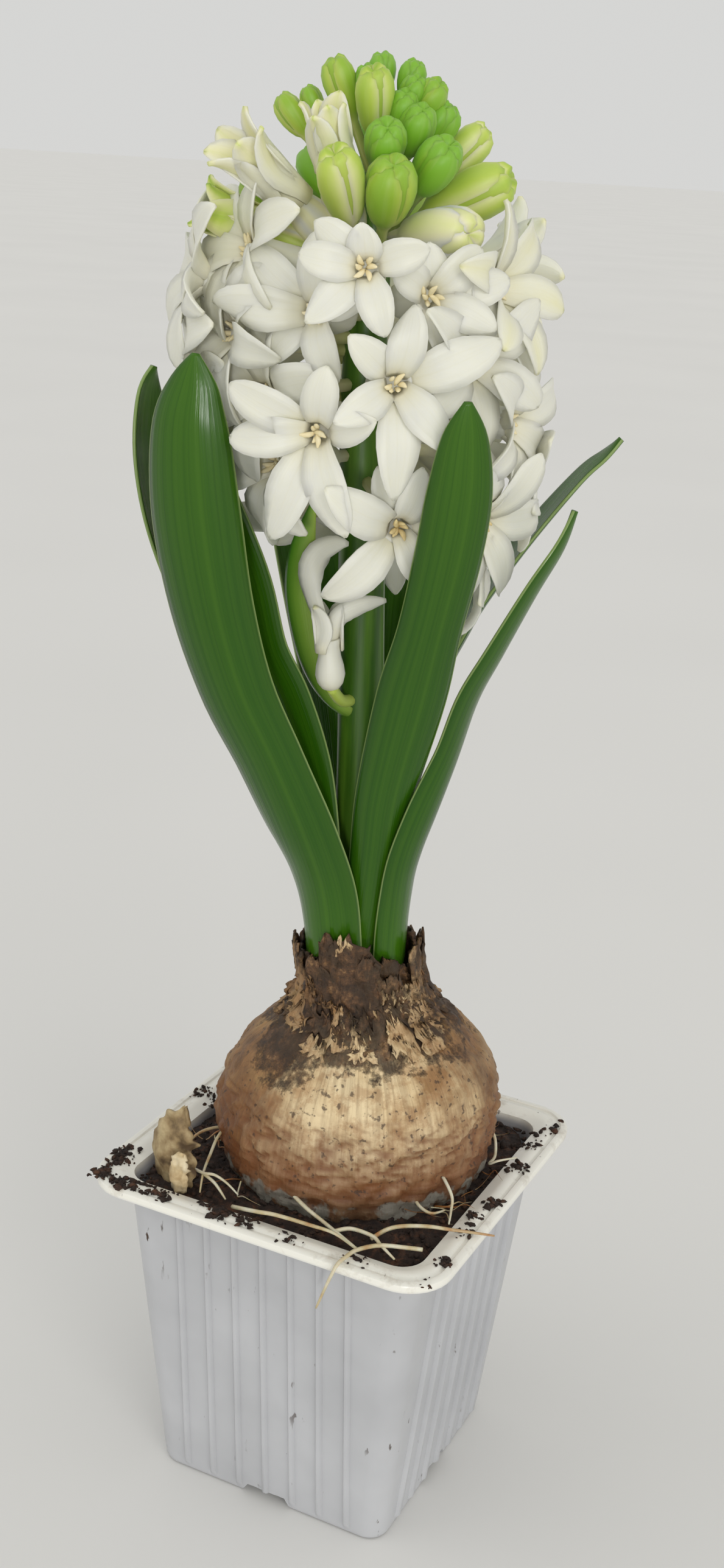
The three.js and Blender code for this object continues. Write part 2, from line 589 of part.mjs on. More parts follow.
// An open flower as one closed skin: a six-sided tube whose last band grows out into the lobes.
function flower(place, open, twist, ownLobes) {
  const whole = place.foot.distanceTo(place.mouth) - ROOT_SUNK;
  const length = between(HALF_OPEN.lobe, FLORET.lobe, open);
  const alike = (k) => [twist + 60 * k, length * (k % 2 ? 1 - FLORET.odd : 1 + FLORET.odd)];
  const lobes = ownLobes ?? [0, 1, 2, 3, 4, 5].map(alike);
  const count = lobes.length;
  const corners = lobes.map(([turn], k) => {
    const before = lobes[(k + count - 1) % count][0] - (k ? 0 : 360);
    return (turn + before) / 2;
  });
  const forward = between(HALF_OPEN.forward, 0, open);
  const mouthRadius = between(HALF_OPEN.mouth, FLORET.mouth, open);
  const rings = [
    [whole, FLORET.stem], [FLORET.stemBack, FLORET.stem], [FLORET.bulgeBack, FLORET.bulge],
    [FLORET.band - forward, mouthRadius], [-forward, mouthRadius],
  ].map(([back, radius]) => corners.map((turn) => place.mouth.clone()
    .addScaledVector(place.out, -Math.min(back, whole)).addScaledVector(roundSide(place, turn), radius)));
  const points = rings.flat();
  const faces = [];
  for (let side = 1; side < count - 1; side++) faces.push(0, side + 1, side);
  for (let ring = 0; ring < rings.length - 2; ring++) {
    for (let side = 0; side < count; side++) {
      const [a, b] = [ring * count + side, ring * count + (side + 1) % count];
      faces.push(a, b, b + count, a, b + count, a + count);
    }
  }
  const low = (rings.length - 2) * count;
  const high = low + count;
  const pit = points.length;
  points.push(place.mouth.clone().addScaledVector(place.out, forward - FLORET.pit));
  lobes.forEach(([turn, long], k) => {
    const [a, b] = [low + k, low + (k + 1) % count];
    const [c, d] = [high + k, high + (k + 1) % count];
    const start = points[c].clone().add(points[d]).multiplyScalar(0.5);
    const { sections, tip } = lobeSections(place, start, turn, long, open);
    const first = points.length;
    points.push(...sections.flat(), tip);
    const [l, r, keel] = [first, first + 1, first + 2];
    faces.push(c, d, pit);
    faces.push(d, c, l, d, l, r);
    faces.push(a, b, keel, b, d, r, b, r, keel, c, a, keel, c, keel, l);
    for (const [p, q] of [[l, r], [r, keel], [keel, l]]) faces.push(p, q + 3, q, p, p + 3, q + 3);
    for (const [p, q] of [[l, r], [r, keel], [keel, l]]) faces.push(p + 3, first + 6, q + 3);
  });
  return skin(points, faces);
}

// Height sets how far a flower reaches, how much it looks up and how open it is.
function habit(height) {
  const { low, full, top } = HABIT;
  const share = Math.max(height - full, 0) / (top - full);
  const reach = between(HABIT.reach, HABIT.topReach, share ** HABIT.taper);
  const rise = height < full
    ? between(HABIT.lowRise, HABIT.fullRise, (height - low) / (full - low))
    : between(HABIT.fullRise, HABIT.topRise, share);
  return [reach, rise, between(1, 0, (height - HABIT.opening) / HABIT.closedOver)];
}

function allFlowers() {
  const random = randomFrom(SPIRAL.seed);
  const rows = [...FRONT];
  for (let k = 0; k < SPIRAL.tries; k++) {
    const height = between(SPIRAL.low, SPIRAL.high, k / SPIRAL.tries) + SPIRAL.loose * random();
    const [reach, rise, open] = habit(height);
    const turn = (k * SPIRAL.step + SPIRAL.looseTurn * random()) % 360;
    const row = [turn, height, reach - SPIRAL.loose * random(), rise, open, 360 * random()];
    const spacing = open < BUD_BELOW ? SPIRAL.budSpacing : SPIRAL.spacing;
    const { mouth } = seat(row);
    if (rows.every((other) => seat(other).mouth.distanceTo(mouth) > spacing)) rows.push(row);
  }
  return rows;
}

function makeSpike(leafRooms) {
  const stalk = solid(tube(STALK.path.map(([x, y, z]) => at(x, y, z)), STALK.radii, STALK.sides));
  const bract = solid(blade(BRACT, BRACT_BLADE));
  const heads = allFlowers().map((row) => {
    const make = row[4] < BUD_BELOW ? bud : flower;
    return solid(make(seat(row), ...row.slice(4)));
  });
  const [stem, base, mouth] = [LOWEST.stem, LOWEST.base, LOWEST.mouth].map(([x, y, z]) => at(x, y, z));
  heads.push(solid(tube([stem, base, base.clone().lerp(mouth, 0.2)], LOWEST.radii, LOWEST.sides)));
  heads.push(solid(flower(axes(base, mouth), LOWEST.open, 0, LOWEST.lobes)));
  const whole = leafRooms.reduce((body, room) => body.subtract(room), join([stalk, bract, ...heads]));
  return whole.decompose().reduce((best, body) => body.volume() > best.volume() ? body : best);
}

const group = new THREE.Group();
const plant = new THREE.Group();
plant.position.set(BULB.x, BULB.y, 0);
plant.rotation.z = THREE.MathUtils.degToRad(PLANT_TURN);
group.add(plant);

function addMesh(parent, name, geometry, color, roughness) {
  const material = new THREE.MeshStandardMaterial({ color, roughness, metalness: 0, flatShading: true });
  const mesh = new THREE.Mesh(geometry, material);
  mesh.name = name;
  parent.add(mesh);
  return mesh;
}

const turned = THREE.MathUtils.degToRad(PLANT_TURN);
const bulbOnly = solid(shapeBulb(bulbSkin(0)).rotateZ(turned).translate(BULB.x, BULB.y, 0));
const bulbRoom = solid(bulbSkin(GAP).translate(BULB.x, BULB.y, -GAP));
const roots = ROOTS.paths.map((path) => solid(rootTube(path)));

addMesh(group, 'pot', surface(makePot()), COLOURS.pot, 0.35);
addMesh(group, 'soil', surface(makeSoil(bulbRoom)), COLOURS.soil, 0.95);
addMesh(group, 'bulb', surface(join([bulbOnly, ...roots])), COLOURS.bulb, 0.7);
addMesh(group, 'dry_scale', surface(join([
  solid(blade(DRY_SCALE, DRY_BLADE)),
  solid(blade(DRY_TAN_PATCH, TAN_BLADE)),
])), COLOURS.scale, 0.8);
for (const [name, stations] of Object.entries(LEAVES)) {
  addMesh(plant, name, closed(blade(stations, BLADE)), COLOURS.leaf, 0.35);
}
const leafRooms = Object.values(LEAVES).map((stations) => solid(blade(stations, BLADE, GAP)));
addMesh(plant, 'flower_spike', surface(makeSpike(leafRooms)), COLOURS.flower, 0.5);

export default group;
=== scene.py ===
"""A white hyacinth in flower, grown from its bulb in a small square plastic pot."""

import math
import random

import bmesh
import bpy
from bpy.props import FloatProperty, FloatVectorProperty, IntProperty, PointerProperty
from mathutils import Matrix, Vector, noise


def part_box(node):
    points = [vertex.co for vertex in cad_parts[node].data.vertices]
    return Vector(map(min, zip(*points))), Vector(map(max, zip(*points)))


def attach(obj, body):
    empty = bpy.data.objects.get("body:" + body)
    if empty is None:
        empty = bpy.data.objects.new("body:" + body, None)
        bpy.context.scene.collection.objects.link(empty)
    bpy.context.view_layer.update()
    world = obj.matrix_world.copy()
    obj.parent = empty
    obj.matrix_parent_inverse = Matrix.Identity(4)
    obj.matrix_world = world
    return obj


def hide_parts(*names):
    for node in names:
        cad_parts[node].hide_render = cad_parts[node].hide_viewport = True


bl_info = {
    "name": "Potted hyacinth",
    "version": (1, 0, 0),
    "blender": (4, 5, 0),
    "location": "View3D > Sidebar > Hyacinth",
    "description": "Builds the finished surfaces of a white hyacinth in its pot",
    "category": "Object",
}

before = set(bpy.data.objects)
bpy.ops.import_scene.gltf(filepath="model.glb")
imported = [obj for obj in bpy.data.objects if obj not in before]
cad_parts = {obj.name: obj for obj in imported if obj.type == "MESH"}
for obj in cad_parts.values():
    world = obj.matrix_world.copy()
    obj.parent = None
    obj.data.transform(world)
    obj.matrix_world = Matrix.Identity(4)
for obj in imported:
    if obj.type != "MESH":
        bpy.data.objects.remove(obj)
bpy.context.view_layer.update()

# Lengths in the tables and in the modelling code are millimetres. Settings are in metres.
MM = 0.001
POT_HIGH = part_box("pot")[1] / MM  # the far corner of its box
POT_HEIGHT = POT_HIGH.z
RIM_HALF = POT_HIGH.x

# The plant stands a little off the middle of the pot. In its own frame x is to the right, y to the back
# and turns are counted from x towards the front.
PLANT_PLACE = (1, 3.6, 0)
PLANT_TURN = math.radians(25.8)
PLANT = Matrix.Translation(PLANT_PLACE) @ Matrix.Rotation(PLANT_TURN, 4, "Z")

# Each station of a blade: middle x, y, z, width, the radius that it curls round, the turn its back faces.
LEAVES = {
    "leaf_front_left": [
        (-7.3, -6.8, 108.8, 16.6, 9.4, 132), (-8.5, -7.4, 124, 17.2, 10, 130),
        (-10.4, -9.2, 136, 17.6, 12, 126), (-14.6, -13, 148.7, 17.2, 15, 120),
        (-20.8, -16.4, 164, 16.2, 17, 116), (-27.6, -19.2, 178.7, 17, 17, 114),
        (-32.6, -21.2, 194.8, 18.4, 17, 112), (-35.8, -22.6, 212, 19, 16, 110),
        (-36.8, -23.2, 227, 16, 14, 108), (-36, -22.8, 235.4, 10, 11, 106),
        (-35.4, -22.2, 241, 1.4, 8, 105),
    ],
    "leaf_front_right": [
        (0.4, -6.5, 108.8, 8, 6.6, 78), (0, -6.6, 122, 8.8, 7.2, 78), (0.8, -8, 133, 10, 9, 80),
        (1.6, -10.8, 145, 11, 12, 82), (2.6, -14.4, 158.5, 12, 14, 84), (6.1, -21, 179.4, 13.6, 15, 85),
        (8.5, -26.4, 194, 12, 14, 85), (10.8, -31.4, 209, 12.4, 13, 85), (11.9, -34.6, 221, 11.8, 12, 85),
        (12, -36, 231, 8, 10, 85), (12, -36.3, 237, 1.4, 7, 85),
    ],
    "leaf_right": [
        (6.6, -4.8, 108.8, 10.4, 9.4, 34), (6.4, -5.2, 122, 11, 9.6, 38), (6.6, -7.1, 133, 10.3, 10, 43),
        (7.5, -10.3, 143.3, 9.2, 10, 50), (10.2, -12.4, 154, 8.7, 10.5, 49),
        (14.5, -12.4, 166.6, 8.8, 11, 37), (17.8, -13.8, 178.3, 10.2, 11, 29),
        (21.8, -14.8, 187.4, 9.8, 10, 25), (27.4, -15.8, 200, 8.2, 10, 22), (31.8, -16.2, 209, 6, 9, 20),
        (33.8, -16.2, 216, 1.4, 8, 20),
    ],
    "leaf_back_right": [
        (6.2, 5.6, 108.8, 9.6, 9.4, -35), (6.4, 6, 124, 10, 9.6, -33), (6.2, 7.8, 139, 9.4, 10, -28),
        (6, 9.4, 152, 9, 10, -21), (8, 10.4, 165, 9.6, 10, -14), (12, 11, 175, 10, 10, -10),
        (16.6, 11.2, 185, 10, 10, -9), (20, 11.2, 192, 9.6, 10, -9), (28.2, 11.2, 205, 8.6, 10, -9),
        (37.2, 11.2, 217.4, 6.4, 9, -9), (41.8, 11.2, 222.2, 4.4, 8, -9), (44.6, 11.2, 225.6, 1.4, 8, -9),
    ],
    "leaf_far_left": [
        (-7.6, 5.4, 108.8, 9.8, 9.4, 221), (-9.3, 5.4, 124, 9.4, 9.8, 218), (-13.1, 5.1, 138, 9.2, 10, 210),
        (-17.6, 4.2, 152, 12, 11, 208), (-24.8, 2.2, 166, 12.6, 12, 206), (-32.6, -0.6, 181, 13, 12, 205),
        (-39.4, -3.2, 196, 13, 12, 205), (-44.3, -4.6, 209, 12.6, 12, 204), (-46.6, -5, 221, 11.6, 11, 204),
        (-46.4, -4.8, 231, 9, 10, 204), (-44.9, -4.6, 236.4, 1.4, 8, 204),
    ],
    "leaf_left": [
        (-7, -2.8, 108.8, 8, 6.6, 154), (-7.9, -3.1, 124, 8.8, 7, 152), (-9.4, -4.6, 139, 10.6, 9, 146),
        (-12.3, -7, 153.7, 13, 11, 138), (-15, -8.2, 164, 14, 12, 134), (-19, -9.2, 175, 14, 12, 132),
        (-23.8, -10, 184.6, 14, 12, 131), (-27.4, -10, 197.4, 14, 12, 130), (-32.4, -9.6, 210, 13, 12, 130),
        (-36.2, -9, 220, 10, 10, 130), (-38, -8.8, 227, 1.4, 8, 130),
    ],
    "leaf_back_left": [
        (-2.4, 6.4, 108.8, 6.6, 6.6, 255), (-3.9, 6.8, 124, 7, 7.2, 254), (-5, 9.8, 139, 8, 9, 255),
        (-7, 14.4, 155, 12, 12, 255), (-9.6, 20, 172, 15, 14, 256), (-14, 26.6, 190, 16.4, 15, 254),
        (-18, 32, 205, 15.6, 14, 252), (-20.6, 35, 217, 11, 11, 252), (-21.4, 36, 224, 1.4, 8, 252),
    ],
    "leaf_back": [
        (3.6, 4.2, 108.8, 6, 6.6, 321), (3.4, 4.8, 124, 6.4, 7.2, 316), (2.8, 7.7, 139, 6.4, 9, 301),
        (1, 11.4, 153, 7, 10, 285), (0.6, 16.6, 171, 9.6, 12, 276), (1, 22.4, 190, 11, 12, 274),
        (1.8, 27.4, 206, 9, 11, 274), (2.2, 29.8, 216, 1.4, 9, 274),
    ],
}
LEAF_CELLS = (12, 60)
LEAF_THICK = (2.3, 1.3)  # along its middle, at its foot and at its tip

# The narrow leaf that grows from the stalk below the flowers.
BRACT = [
    (-3.8, -2, 170.4, 2.6, 4, 120), (-7, -4.4, 172.2, 3.6, 4, 125), (-10.8, -5.4, 176.6, 5.4, 5, 122),
    (-13.6, -6, 183, 6.4, 6, 114), (-15.4, -7.4, 191, 6.8, 6, 108), (-16.2, -8.4, 198, 6.4, 6, 105),
    (-15.8, -8.8, 205, 4.8, 6, 102), (-14, -9, 214, 0.8, 5, 100),
]
# A scrap of dried scale stands in the soil at the left corner, in the pot's own frame, with a tan patch.
DRY_SCALE = [
    (-24.6, -28.4, 71.4, 9.4, 12, 100), (-24.8, -28.8, 75, 11, 12, 98), (-24.8, -29, 79, 11.4, 11, 96),
    (-24.4, -28.8, 83, 10, 10, 94), (-23.6, -28.4, 85.6, 7, 9, 92), (-22.6, -28.2, 87.6, 3.6, 8, 92),
    (-22, -28.2, 90, 0.8, 7, 92),
]
DRY_TAN_PATCH = [
    (-21.4, -30.9, 71.8, 3.4, 5, 92), (-21.4, -31.6, 76, 4.4, 4, 90), (-21.2, -31.2, 79, 3.8, 4, 90),
    (-21, -30.4, 80.6, 1.8, 4, 90),
]

# The stalk's middle x, its height and its radius.
STALK = [
    (-1.7, 108.8, 4.5), (-2.8, 160, 4.7), (-3.9, 184, 4.6), (-5, 209, 4.5), (-6.1, 236, 4.2),
    (-5.6, 262, 3.2), (-5.4, 284, 1.4),
]

# One row for each flower that faces the front: the turn that it faces, the height of its mouth and its
# distance from the stalk, how far it looks up, how open it is (0 bud to 1 open, and more where the petals
# roll right back), the turn of its first lobe, and how green it is. Some open flowers also have the turn
# and length of each lobe, and some buds their size.
FRONT_FLOWERS = [
    (91.4, 257.4, 31, 6, 1, 0, 0, ((21, 9), (92, 5), (136, 9), (178, 9.5), (225, 11), (291, 10))),
    (79.2, 238.5, 31, 2, 1, 0, 0, ((23, 18), (83, 11.5), (134, 10), (210, 11), (273, 17), (316, 12.5))),
    (104.7, 229.3, 30, -6, 1, 0, 0, ((14, 10), (76, 11), (147, 15), (182, 13), (250, 18.5), (289, 16.5))),
    (74.7, 212.9, 27, -10, 1, 0, 0, ((20, 12), (73, 10), (113, 10), (156, 16.5), (224, 17), (300, 10))),
    (67.6, 253, 28, 8, 1, 0, 0, ((7, 12.5), (43, 10), (95, 6), (150, 6.5), (282, 9), (328, 10))),
    (167, 253, 31, 10, 1.1, 40, 0),
    (112, 249, 24, 4, 1.1, 10, 0, ((20, 10), (80, 12), (140, 15), (183, 17), (222, 10), (290, 11))),
    (38, 213.3, 28, -10, 1, 0, 0),
    (26, 230.6, 30, 0, 1.1, 25, 0),
    (32, 254, 26, 14, 0.9, 45, 0.05),
    (48, 242, 28, 4, 1, 30, 0),
    (140, 221, 21, -2, 1.15, 15, 0),
    (14, 205, 22, -16, 0.9, 0, 0, ((25, 7), (90, 9), (150, 10), (200, 12), (238, 16), (285, 12))),
    (178, 231, 26, -2, 1.15, 35, 0),
    (172, 241.6, 31, 2, 1.15, 10, 0),
    (151, 244, 27, 2, 1.15, 50, 0),
    (136, 234, 24, -2, 1.15, 20, 0),
    (150, 258.6, 25, 18, 1.1, 20, 0.02),
    (52, 262.8, 18, 4, 0.28, 40, 0.14, 1.15),
    (142, 267, 18, 36, 0.5, 30, 0.08, ((30, 15), (90, 16), (150, 16), (210, 15), (270, 16), (330, 15))),
    (168, 261, 19, 18, 0.3, 0, 0.3),
    (122, 272.6, 13, 64, 0.45, 30, 0.1, ((30, 9), (90, 10), (150, 9), (210, 10), (270, 9), (330, 10))),
    (108, 269.6, 17.6, 50, 0.28, 10, 0.42, 0.95),
    (81, 268.8, 16.2, 52, 0, 0, 0.68, 1.15),
    (85, 276.4, 13, 42, 0, 30, 0.95, 0.92),
    (52, 273.4, 16, 46, 0, 10, 0.95, 1),
    (58, 279.2, 11.6, 58, 0, 0, 1, 0.82),
    (66, 282, 9, 66, 0, 15, 1, 0.7),
    (26, 280, 11.4, 58, 0, 40, 1, 0.78),
    (20, 268.8, 17, 26, 0.29, 20, 0.46, 1.08),
    (8, 276.2, 15, 46, 0.2, 20, 0.4, 0.8),
    (100, 288.6, 1.5, 84, 0, 0, 1, 0.62),
    (120, 286.6, 5, 76, 0, 40, 1, 0.58),
    (31, 287.6, 5.8, 74, 0, 20, 1, 0.62),
    (50, 285.2, 8, 62, 0, 0, 0.95, 0.6),
    (34, 283.8, 9.4, 56, 0.1, 0, 0.75, 0.72),
    (156, 286, 7.5, 66, 0.15, 15, 0.62, 0.74),
    (97, 283.8, 9, 62, 0.2, 0, 0.5, 0.82),
    (186, 281, 15.6, 52, 0.1, 20, 0.62, 0.62),
    (180, 283.4, 12, 60, 0, 0, 0.75, 0.5),
]
# The lowest flower hangs on a stem of its own and looks up along the stalk.
LOWEST_STEM = [(-4, -2, 174), (-7, -6, 174.4), (-9.2, -10.6, 178.4)]
LOWEST_BASE, LOWEST_MOUTH = (-9.2, -10.6, 177.8), (-10, -11.4, 188)
LOWEST_LOBES = ((70, 7), (200, 7), (260, 7))
# How far up its tube each ring stands, and the ring's radius.
LOWEST_TUBE = [(0, 0.5), (0.5, 1.7), (1.6, 2.5), (3.2, 2.9), (5, 2.7), (7, 2.2), (9, 2), (10.4, 2.2),
               (10.6, 1.9), (9.6, 1.5), (9, 0.3)]
# Its two large petals, which are blades.
LOWEST_PETALS = [
    [(-10, -11.2, 185.6, 2.4, 3, 140), (-11, -11.8, 189, 3.2, 3, 140), (-12.3, -12.2, 192.8, 3.6, 4, 130),
     (-13.7, -12.2, 196.8, 4, 5, 120), (-14.2, -12.2, 200.2, 4.8, 5, 100), (-13.4, -11.8, 203.4, 5.2, 5, 80),
     (-11.6, -11.2, 205.4, 4.4, 5, 80), (-9.2, -10.8, 206.4, 3, 4, 90), (-7.2, -10.6, 206.4, 0.8, 4, 90)],
    [(-9.2, -11.6, 185.6, 2.8, 3, 40), (-9.2, -12.4, 189, 3.4, 4, 60), (-8.7, -12.8, 192, 3.6, 4, 80),
     (-7.2, -12.8, 193.8, 3.8, 4, 90), (-4.8, -12.4, 195, 3.6, 4, 90), (-2.2, -12, 195.8, 2.6, 4, 90),
     (0.4, -11.4, 196.2, 0.8, 4, 90)],
]
# Where no flower grows, as turn and height: by the lowest one, behind the broad leaf and at the back.
BARE = [(108.6, 207.9), (146.1, 203.6), (208.7, 259.5)]
# The other flowers follow a spiral, a little loosely in height, reach and turn, and each keeps clear of
# those already placed. One less open than BUD_BELOW is a closed bud.
SPIRAL_STEP, SPIRAL_LOW, SPIRAL_HIGH, SPIRAL_TRIES = 137.5, 203, 285, 150
LOOSE, LOOSE_TURN = 2, 10
SPACING, BUD_SPACING, BUD_BELOW = 14.3, 8.6, 0.3
# Up to the full height they reach out in full, and then less and less up to the top. The lowest look down
# a little and the topmost nearly straight up, and above the closing height they open less.
LOW, FULL, TOP = 200, 248, 288
FULL_REACH, TOP_REACH = 29, 3
LOW_RISE, FULL_RISE, TOP_RISE = -12, 6, 76
CLOSING, CLOSED_OVER = 250, 18
# The size of the spiral's buds, from the lowest ones to those that stand this much higher.
BUD_SIZES, BUDS_FROM, BUDS_OVER = (1.1, 0.6), 268, 18
# A flower near a leaf is tucked in towards the stalk, with short lobes, until its mouth is this far from
# the leaf's middle.
LEAF_CLEAR, TUCKED_REACH, TUCKED_LOBE = 15.5, 15, 11

# A petal's cells, how deep in the throat it starts, and in how many steps its curve goes from row to row.
PETAL_COLUMNS, PETAL_ROWS, THROAT_ROOT, BEND_STEPS = 4, 9, 2.2, 4
# In a half-open flower and in an open one: the angles from the flower's axis at which a petal leaves the
# throat and ends, and how late it bends.
LEAVES_AT, ENDS_AT, BENDS_LATE = (2, 40), (56, 122), (3.5, 1)
# Half the width of a short petal and of one 9 mm longer, where it is half open and where it is open.
SHORT_PETAL, HALF_OPEN_WIDTH, OPEN_WIDTH = 9, (3.5, 4.8), (3.15, 4.2)
# How far the tube's mouth stands forward, its radius and the length of the lobes, half open and open.
TUBE_FORWARD, TUBE_MOUTH, LOBE_LENGTH = (3.5, 0), (4.4, 3.1), (9.5, 14.8)
ROOT_SUNK = 1  # how near to the middle of the stalk a flower's stem begins
STAMENS_OVER, ANTHER_RINGS = 0.6, 4  # how open a flower is before its stamens show

# Roots, in the pot's own frame.
ROOTS = [
    [(0, -21, 77), (1.2, -24.6, 76.2), (6.1, -27.6, 75.6), (10.9, -29.4, 75), (16.3, -31.6, 74.6),
     (21.3, -33.6, 74.2)],
    [(-8, -32, 73.2), (-1.6, -33.8, 75.2), (2.7, -33.2, 75.5), (9.8, -32.4, 75.2), (15.2, -31.9, 74.8),
     (20.6, -33.3, 74)],
    [(22.1, -29.4, 74.6), (23.4, -25.4, 74.8), (26, -23.4, 75.4), (30.4, -21, 75.5), (34, -19.4, 75.2),
     (38, -17.8, 75), (42.6, -15.8, 74.6)],
    [(14.8, -30.8, 74.6), (17.4, -29, 75), (22.1, -29.1, 75), (24.7, -30.3, 74.4), (28.4, -31.8, 73.4)],
    [(32, -26.8, 74), (29.2, -28.4, 74.4), (24.6, -31, 74.8), (21.8, -35.2, 75.2), (21, -38.2, 75.1),
     (20.4, -40.6, 74.6), (19.6, -41.9, 72), (18.2, -41.8, 68), (16.8, -41.6, 64)],
    [(25, -6.4, 80), (28.2, -8.6, 78.8), (30.8, -10.4, 76.6), (31.6, -12.4, 74.6), (32.4, -15, 73.3)],
    [(25, 19, 78.4), (28.6, 17, 76.4), (30.6, 13, 74.2), (30.4, 10.4, 73.6), (32.6, 10.4, 75),
     (35.4, 13.6, 75)],
    [(22, -11.4, 76), (25.4, -14.6, 75.2), (28.2, -14.4, 74.2), (29.8, -11, 73.6)],
    [(-19, -12, 80), (-20.2, -17, 78.6), (-19.4, -22, 76.6), (-18, -27, 75.2), (-16.3, -31, 73.2)],
    [(-23.3, -24.5, 73.8), (-20.4, -26.4, 75), (-17.4, -27.6, 75.6), (-14.9, -27.6, 76),
     (-11.9, -27.8, 75.2), (-8.9, -28.2, 73.6)],
    [(-17.4, -27.4, 75.2), (-13.9, -29, 75), (-10.2, -31, 73.6)],
    [(-21, -8, 76), (-25.4, -11.6, 75.8), (-27.4, -15, 75), (-27.8, -18.6, 73.4)],
]

# Radius and height of the bulb, from its base plate to the neck and down into the neck's pocket.
BULB_PROFILE = [
    (0, 52.4), (8, 52.4), (15, 54.4), (21.5, 58.4), (26.3, 64), (28.4, 71), (30.2, 79), (30.1, 86.5),
    (28.6, 92.6), (25.6, 97.6), (21.4, 102), (17.2, 106.4), (14, 110.4), (12.7, 114.4), (12.3, 120),
    (11.8, 120.2), (11.5, 115), (11.4, 108), (0, 108),
]
BULB_SHOULDER = BULB_PROFILE[7:15]  # from its widest part to the top of its neck
# How far the bulb leans to the right at each height.
BULB_LEAN = [(80, 0), (94, 1.4), (105, 2), (111, 0.4), (119, -1.1)]
# The upper edge of the outermost coat, as turn and height: left of it an older coat shows.
COAT_EDGE = [(-175, 90), (-150, 98), (-110, 104), (-60, 106), (-20, 101), (10, 98), (40, 103), (78.8, 106.9),
             (109.2, 106.1), (126.9, 101.8), (132.2, 96.3), (140.4, 89), (141, 80), (141.2, 70.2), (150, 66)]
# Torn scales round the neck: turn, height of the foot, how tall and wide, how far out they lean, how dark.
NECK_SCALES = [
    (99, 111, 15, 14, 0.2, 1), (131, 109, 12, 9, 0.5, 0.8), (163, 108, 12.6, 9, 0.6, 0.3),
    (118, 110, 14.6, 7, 0.5, 0.9), (82, 110, 13, 7, 0.6, 0.85), (103, 122.4, 3.6, 3, 0.5, -0.4),
    (60, 109, 9, 8, 0.4, 0.7), (18, 109, 14, 9, 0.4, 0.4), (84, 104, 6, 9, 0.9, 0.6),
    (66, 104.4, 5, 6.5, 0.6, 0), (112, 104.6, 7, 6, 0.7, 0.1), (36, 107, 8, 9, 0.5, 0.3),
    (146, 106, 7, 7, 0.5, 0.2), (-10, 108, 13, 11, 0.8, 0.5), (-50, 109, 12, 12, 0.8, 0.7),
    (-95, 108, 14, 13, 0.8, 0.6), (-135, 108, 12, 12, 0.8, 0.4), (-168, 107, 13, 10, 0.8, 0.6),
]


def srgb(text):
    """A hex colour as linear red, green, blue and alpha."""
    parts = [int(text[i:i + 2], 16) / 255 for i in (1, 3, 5)]
    return [c / 12.92 if c <= 0.04045 else ((c + 0.055) / 1.055) ** 2.4 for c in parts] + [1]


def between(a, b, share):
    """The number at a share of the way from a to b, and never past either."""
    return a + (b - a) * min(1, max(0, share))


def smooth(low, high, value):
    """0 below low, 1 above high, and an even curve between."""
    share = min(1, max(0, (value - low) / (high - low)))
    return share * share * (3 - 2 * share)


def through(points, share):
    """The row of numbers at a share of the way along a smooth curve through rows of numbers."""
    place = share * (len(points) - 1)
    first = min(int(place), len(points) - 2)
    t = place - first
    rows = [points[min(max(first + k, 0), len(points) - 1)] for k in (-1, 0, 1, 2)]
    return [
        b + t * (c - a) / 2 + t * t * (a - 2.5 * b + 2 * c - d / 2) + t ** 3 * (1.5 * (b - c) + (d - a) / 2)
        for a, b, c, d in zip(*rows)
    ]


def heading(points, share):
    """The direction of that curve at a share of the way along it."""
    behind, ahead = (Vector(through(points, min(1, max(0, share + step)))[:3]) for step in (-0.01, 0.01))
    return (ahead - behind).normalized()


def straight(points, value):
    """Straight interpolation in a table of pairs that is sorted by its first number."""
    if value <= points[0][0]:
        return points[0][1]
    for (x0, y0), (x1, y1) in zip(points, points[1:]):
        if value <= x1:
            return y0 + (y1 - y0) * (value - x0) / (x1 - x0)
    return points[-1][1]


def ripple(x, y, z):
    """Smooth random waves, from about -1 to 1, one wave to each unit of length."""
    return noise.noise(Vector((x, y, z)))


def facing(turn):
    """The level direction of a turn in the plant's frame."""
    angle = math.radians(turn)
    return Vector((math.cos(angle), -math.sin(angle), 0))


def turn_of(x, y):
    """The turn of a point round the plant's axis, from -180 to 180."""
    return math.degrees(math.atan2(-y, x))


def new_shape():
    """An empty mesh in millimetres, with the layers that the materials read."""
    bm = bmesh.new()
    bm.loops.layers.uv.new("UVMap")
    for name in ("tint", "shade", "crease"):
        bm.verts.layers.float.new(name)
    return bm


def keep_mesh(name, bm):
    """Turns a finished shape into a mesh."""
    mesh = bpy.data.meshes.new(name)
    bm.to_mesh(mesh)
    bm.free()
    return mesh


def add_object(name, data):
    """Puts a new object for a mesh, a light or a camera in the scene."""
    made = bpy.data.objects.new(name, data)
    bpy.context.scene.collection.objects.link(made)
    return made


def unit_mesh(name, bm, uv_of):
    """Keeps a small shape as a mesh that copies are made from, with its own texture coordinates."""
    bmesh.ops.recalc_face_normals(bm, faces=bm.faces)
    layer = bm.loops.layers.uv.active
    for face in bm.faces:
        middle = face.calc_center_median()
        for loop in face.loops:
            loop[layer].uv = uv_of(loop.vert.co, middle)
    return keep_mesh(name, bm)


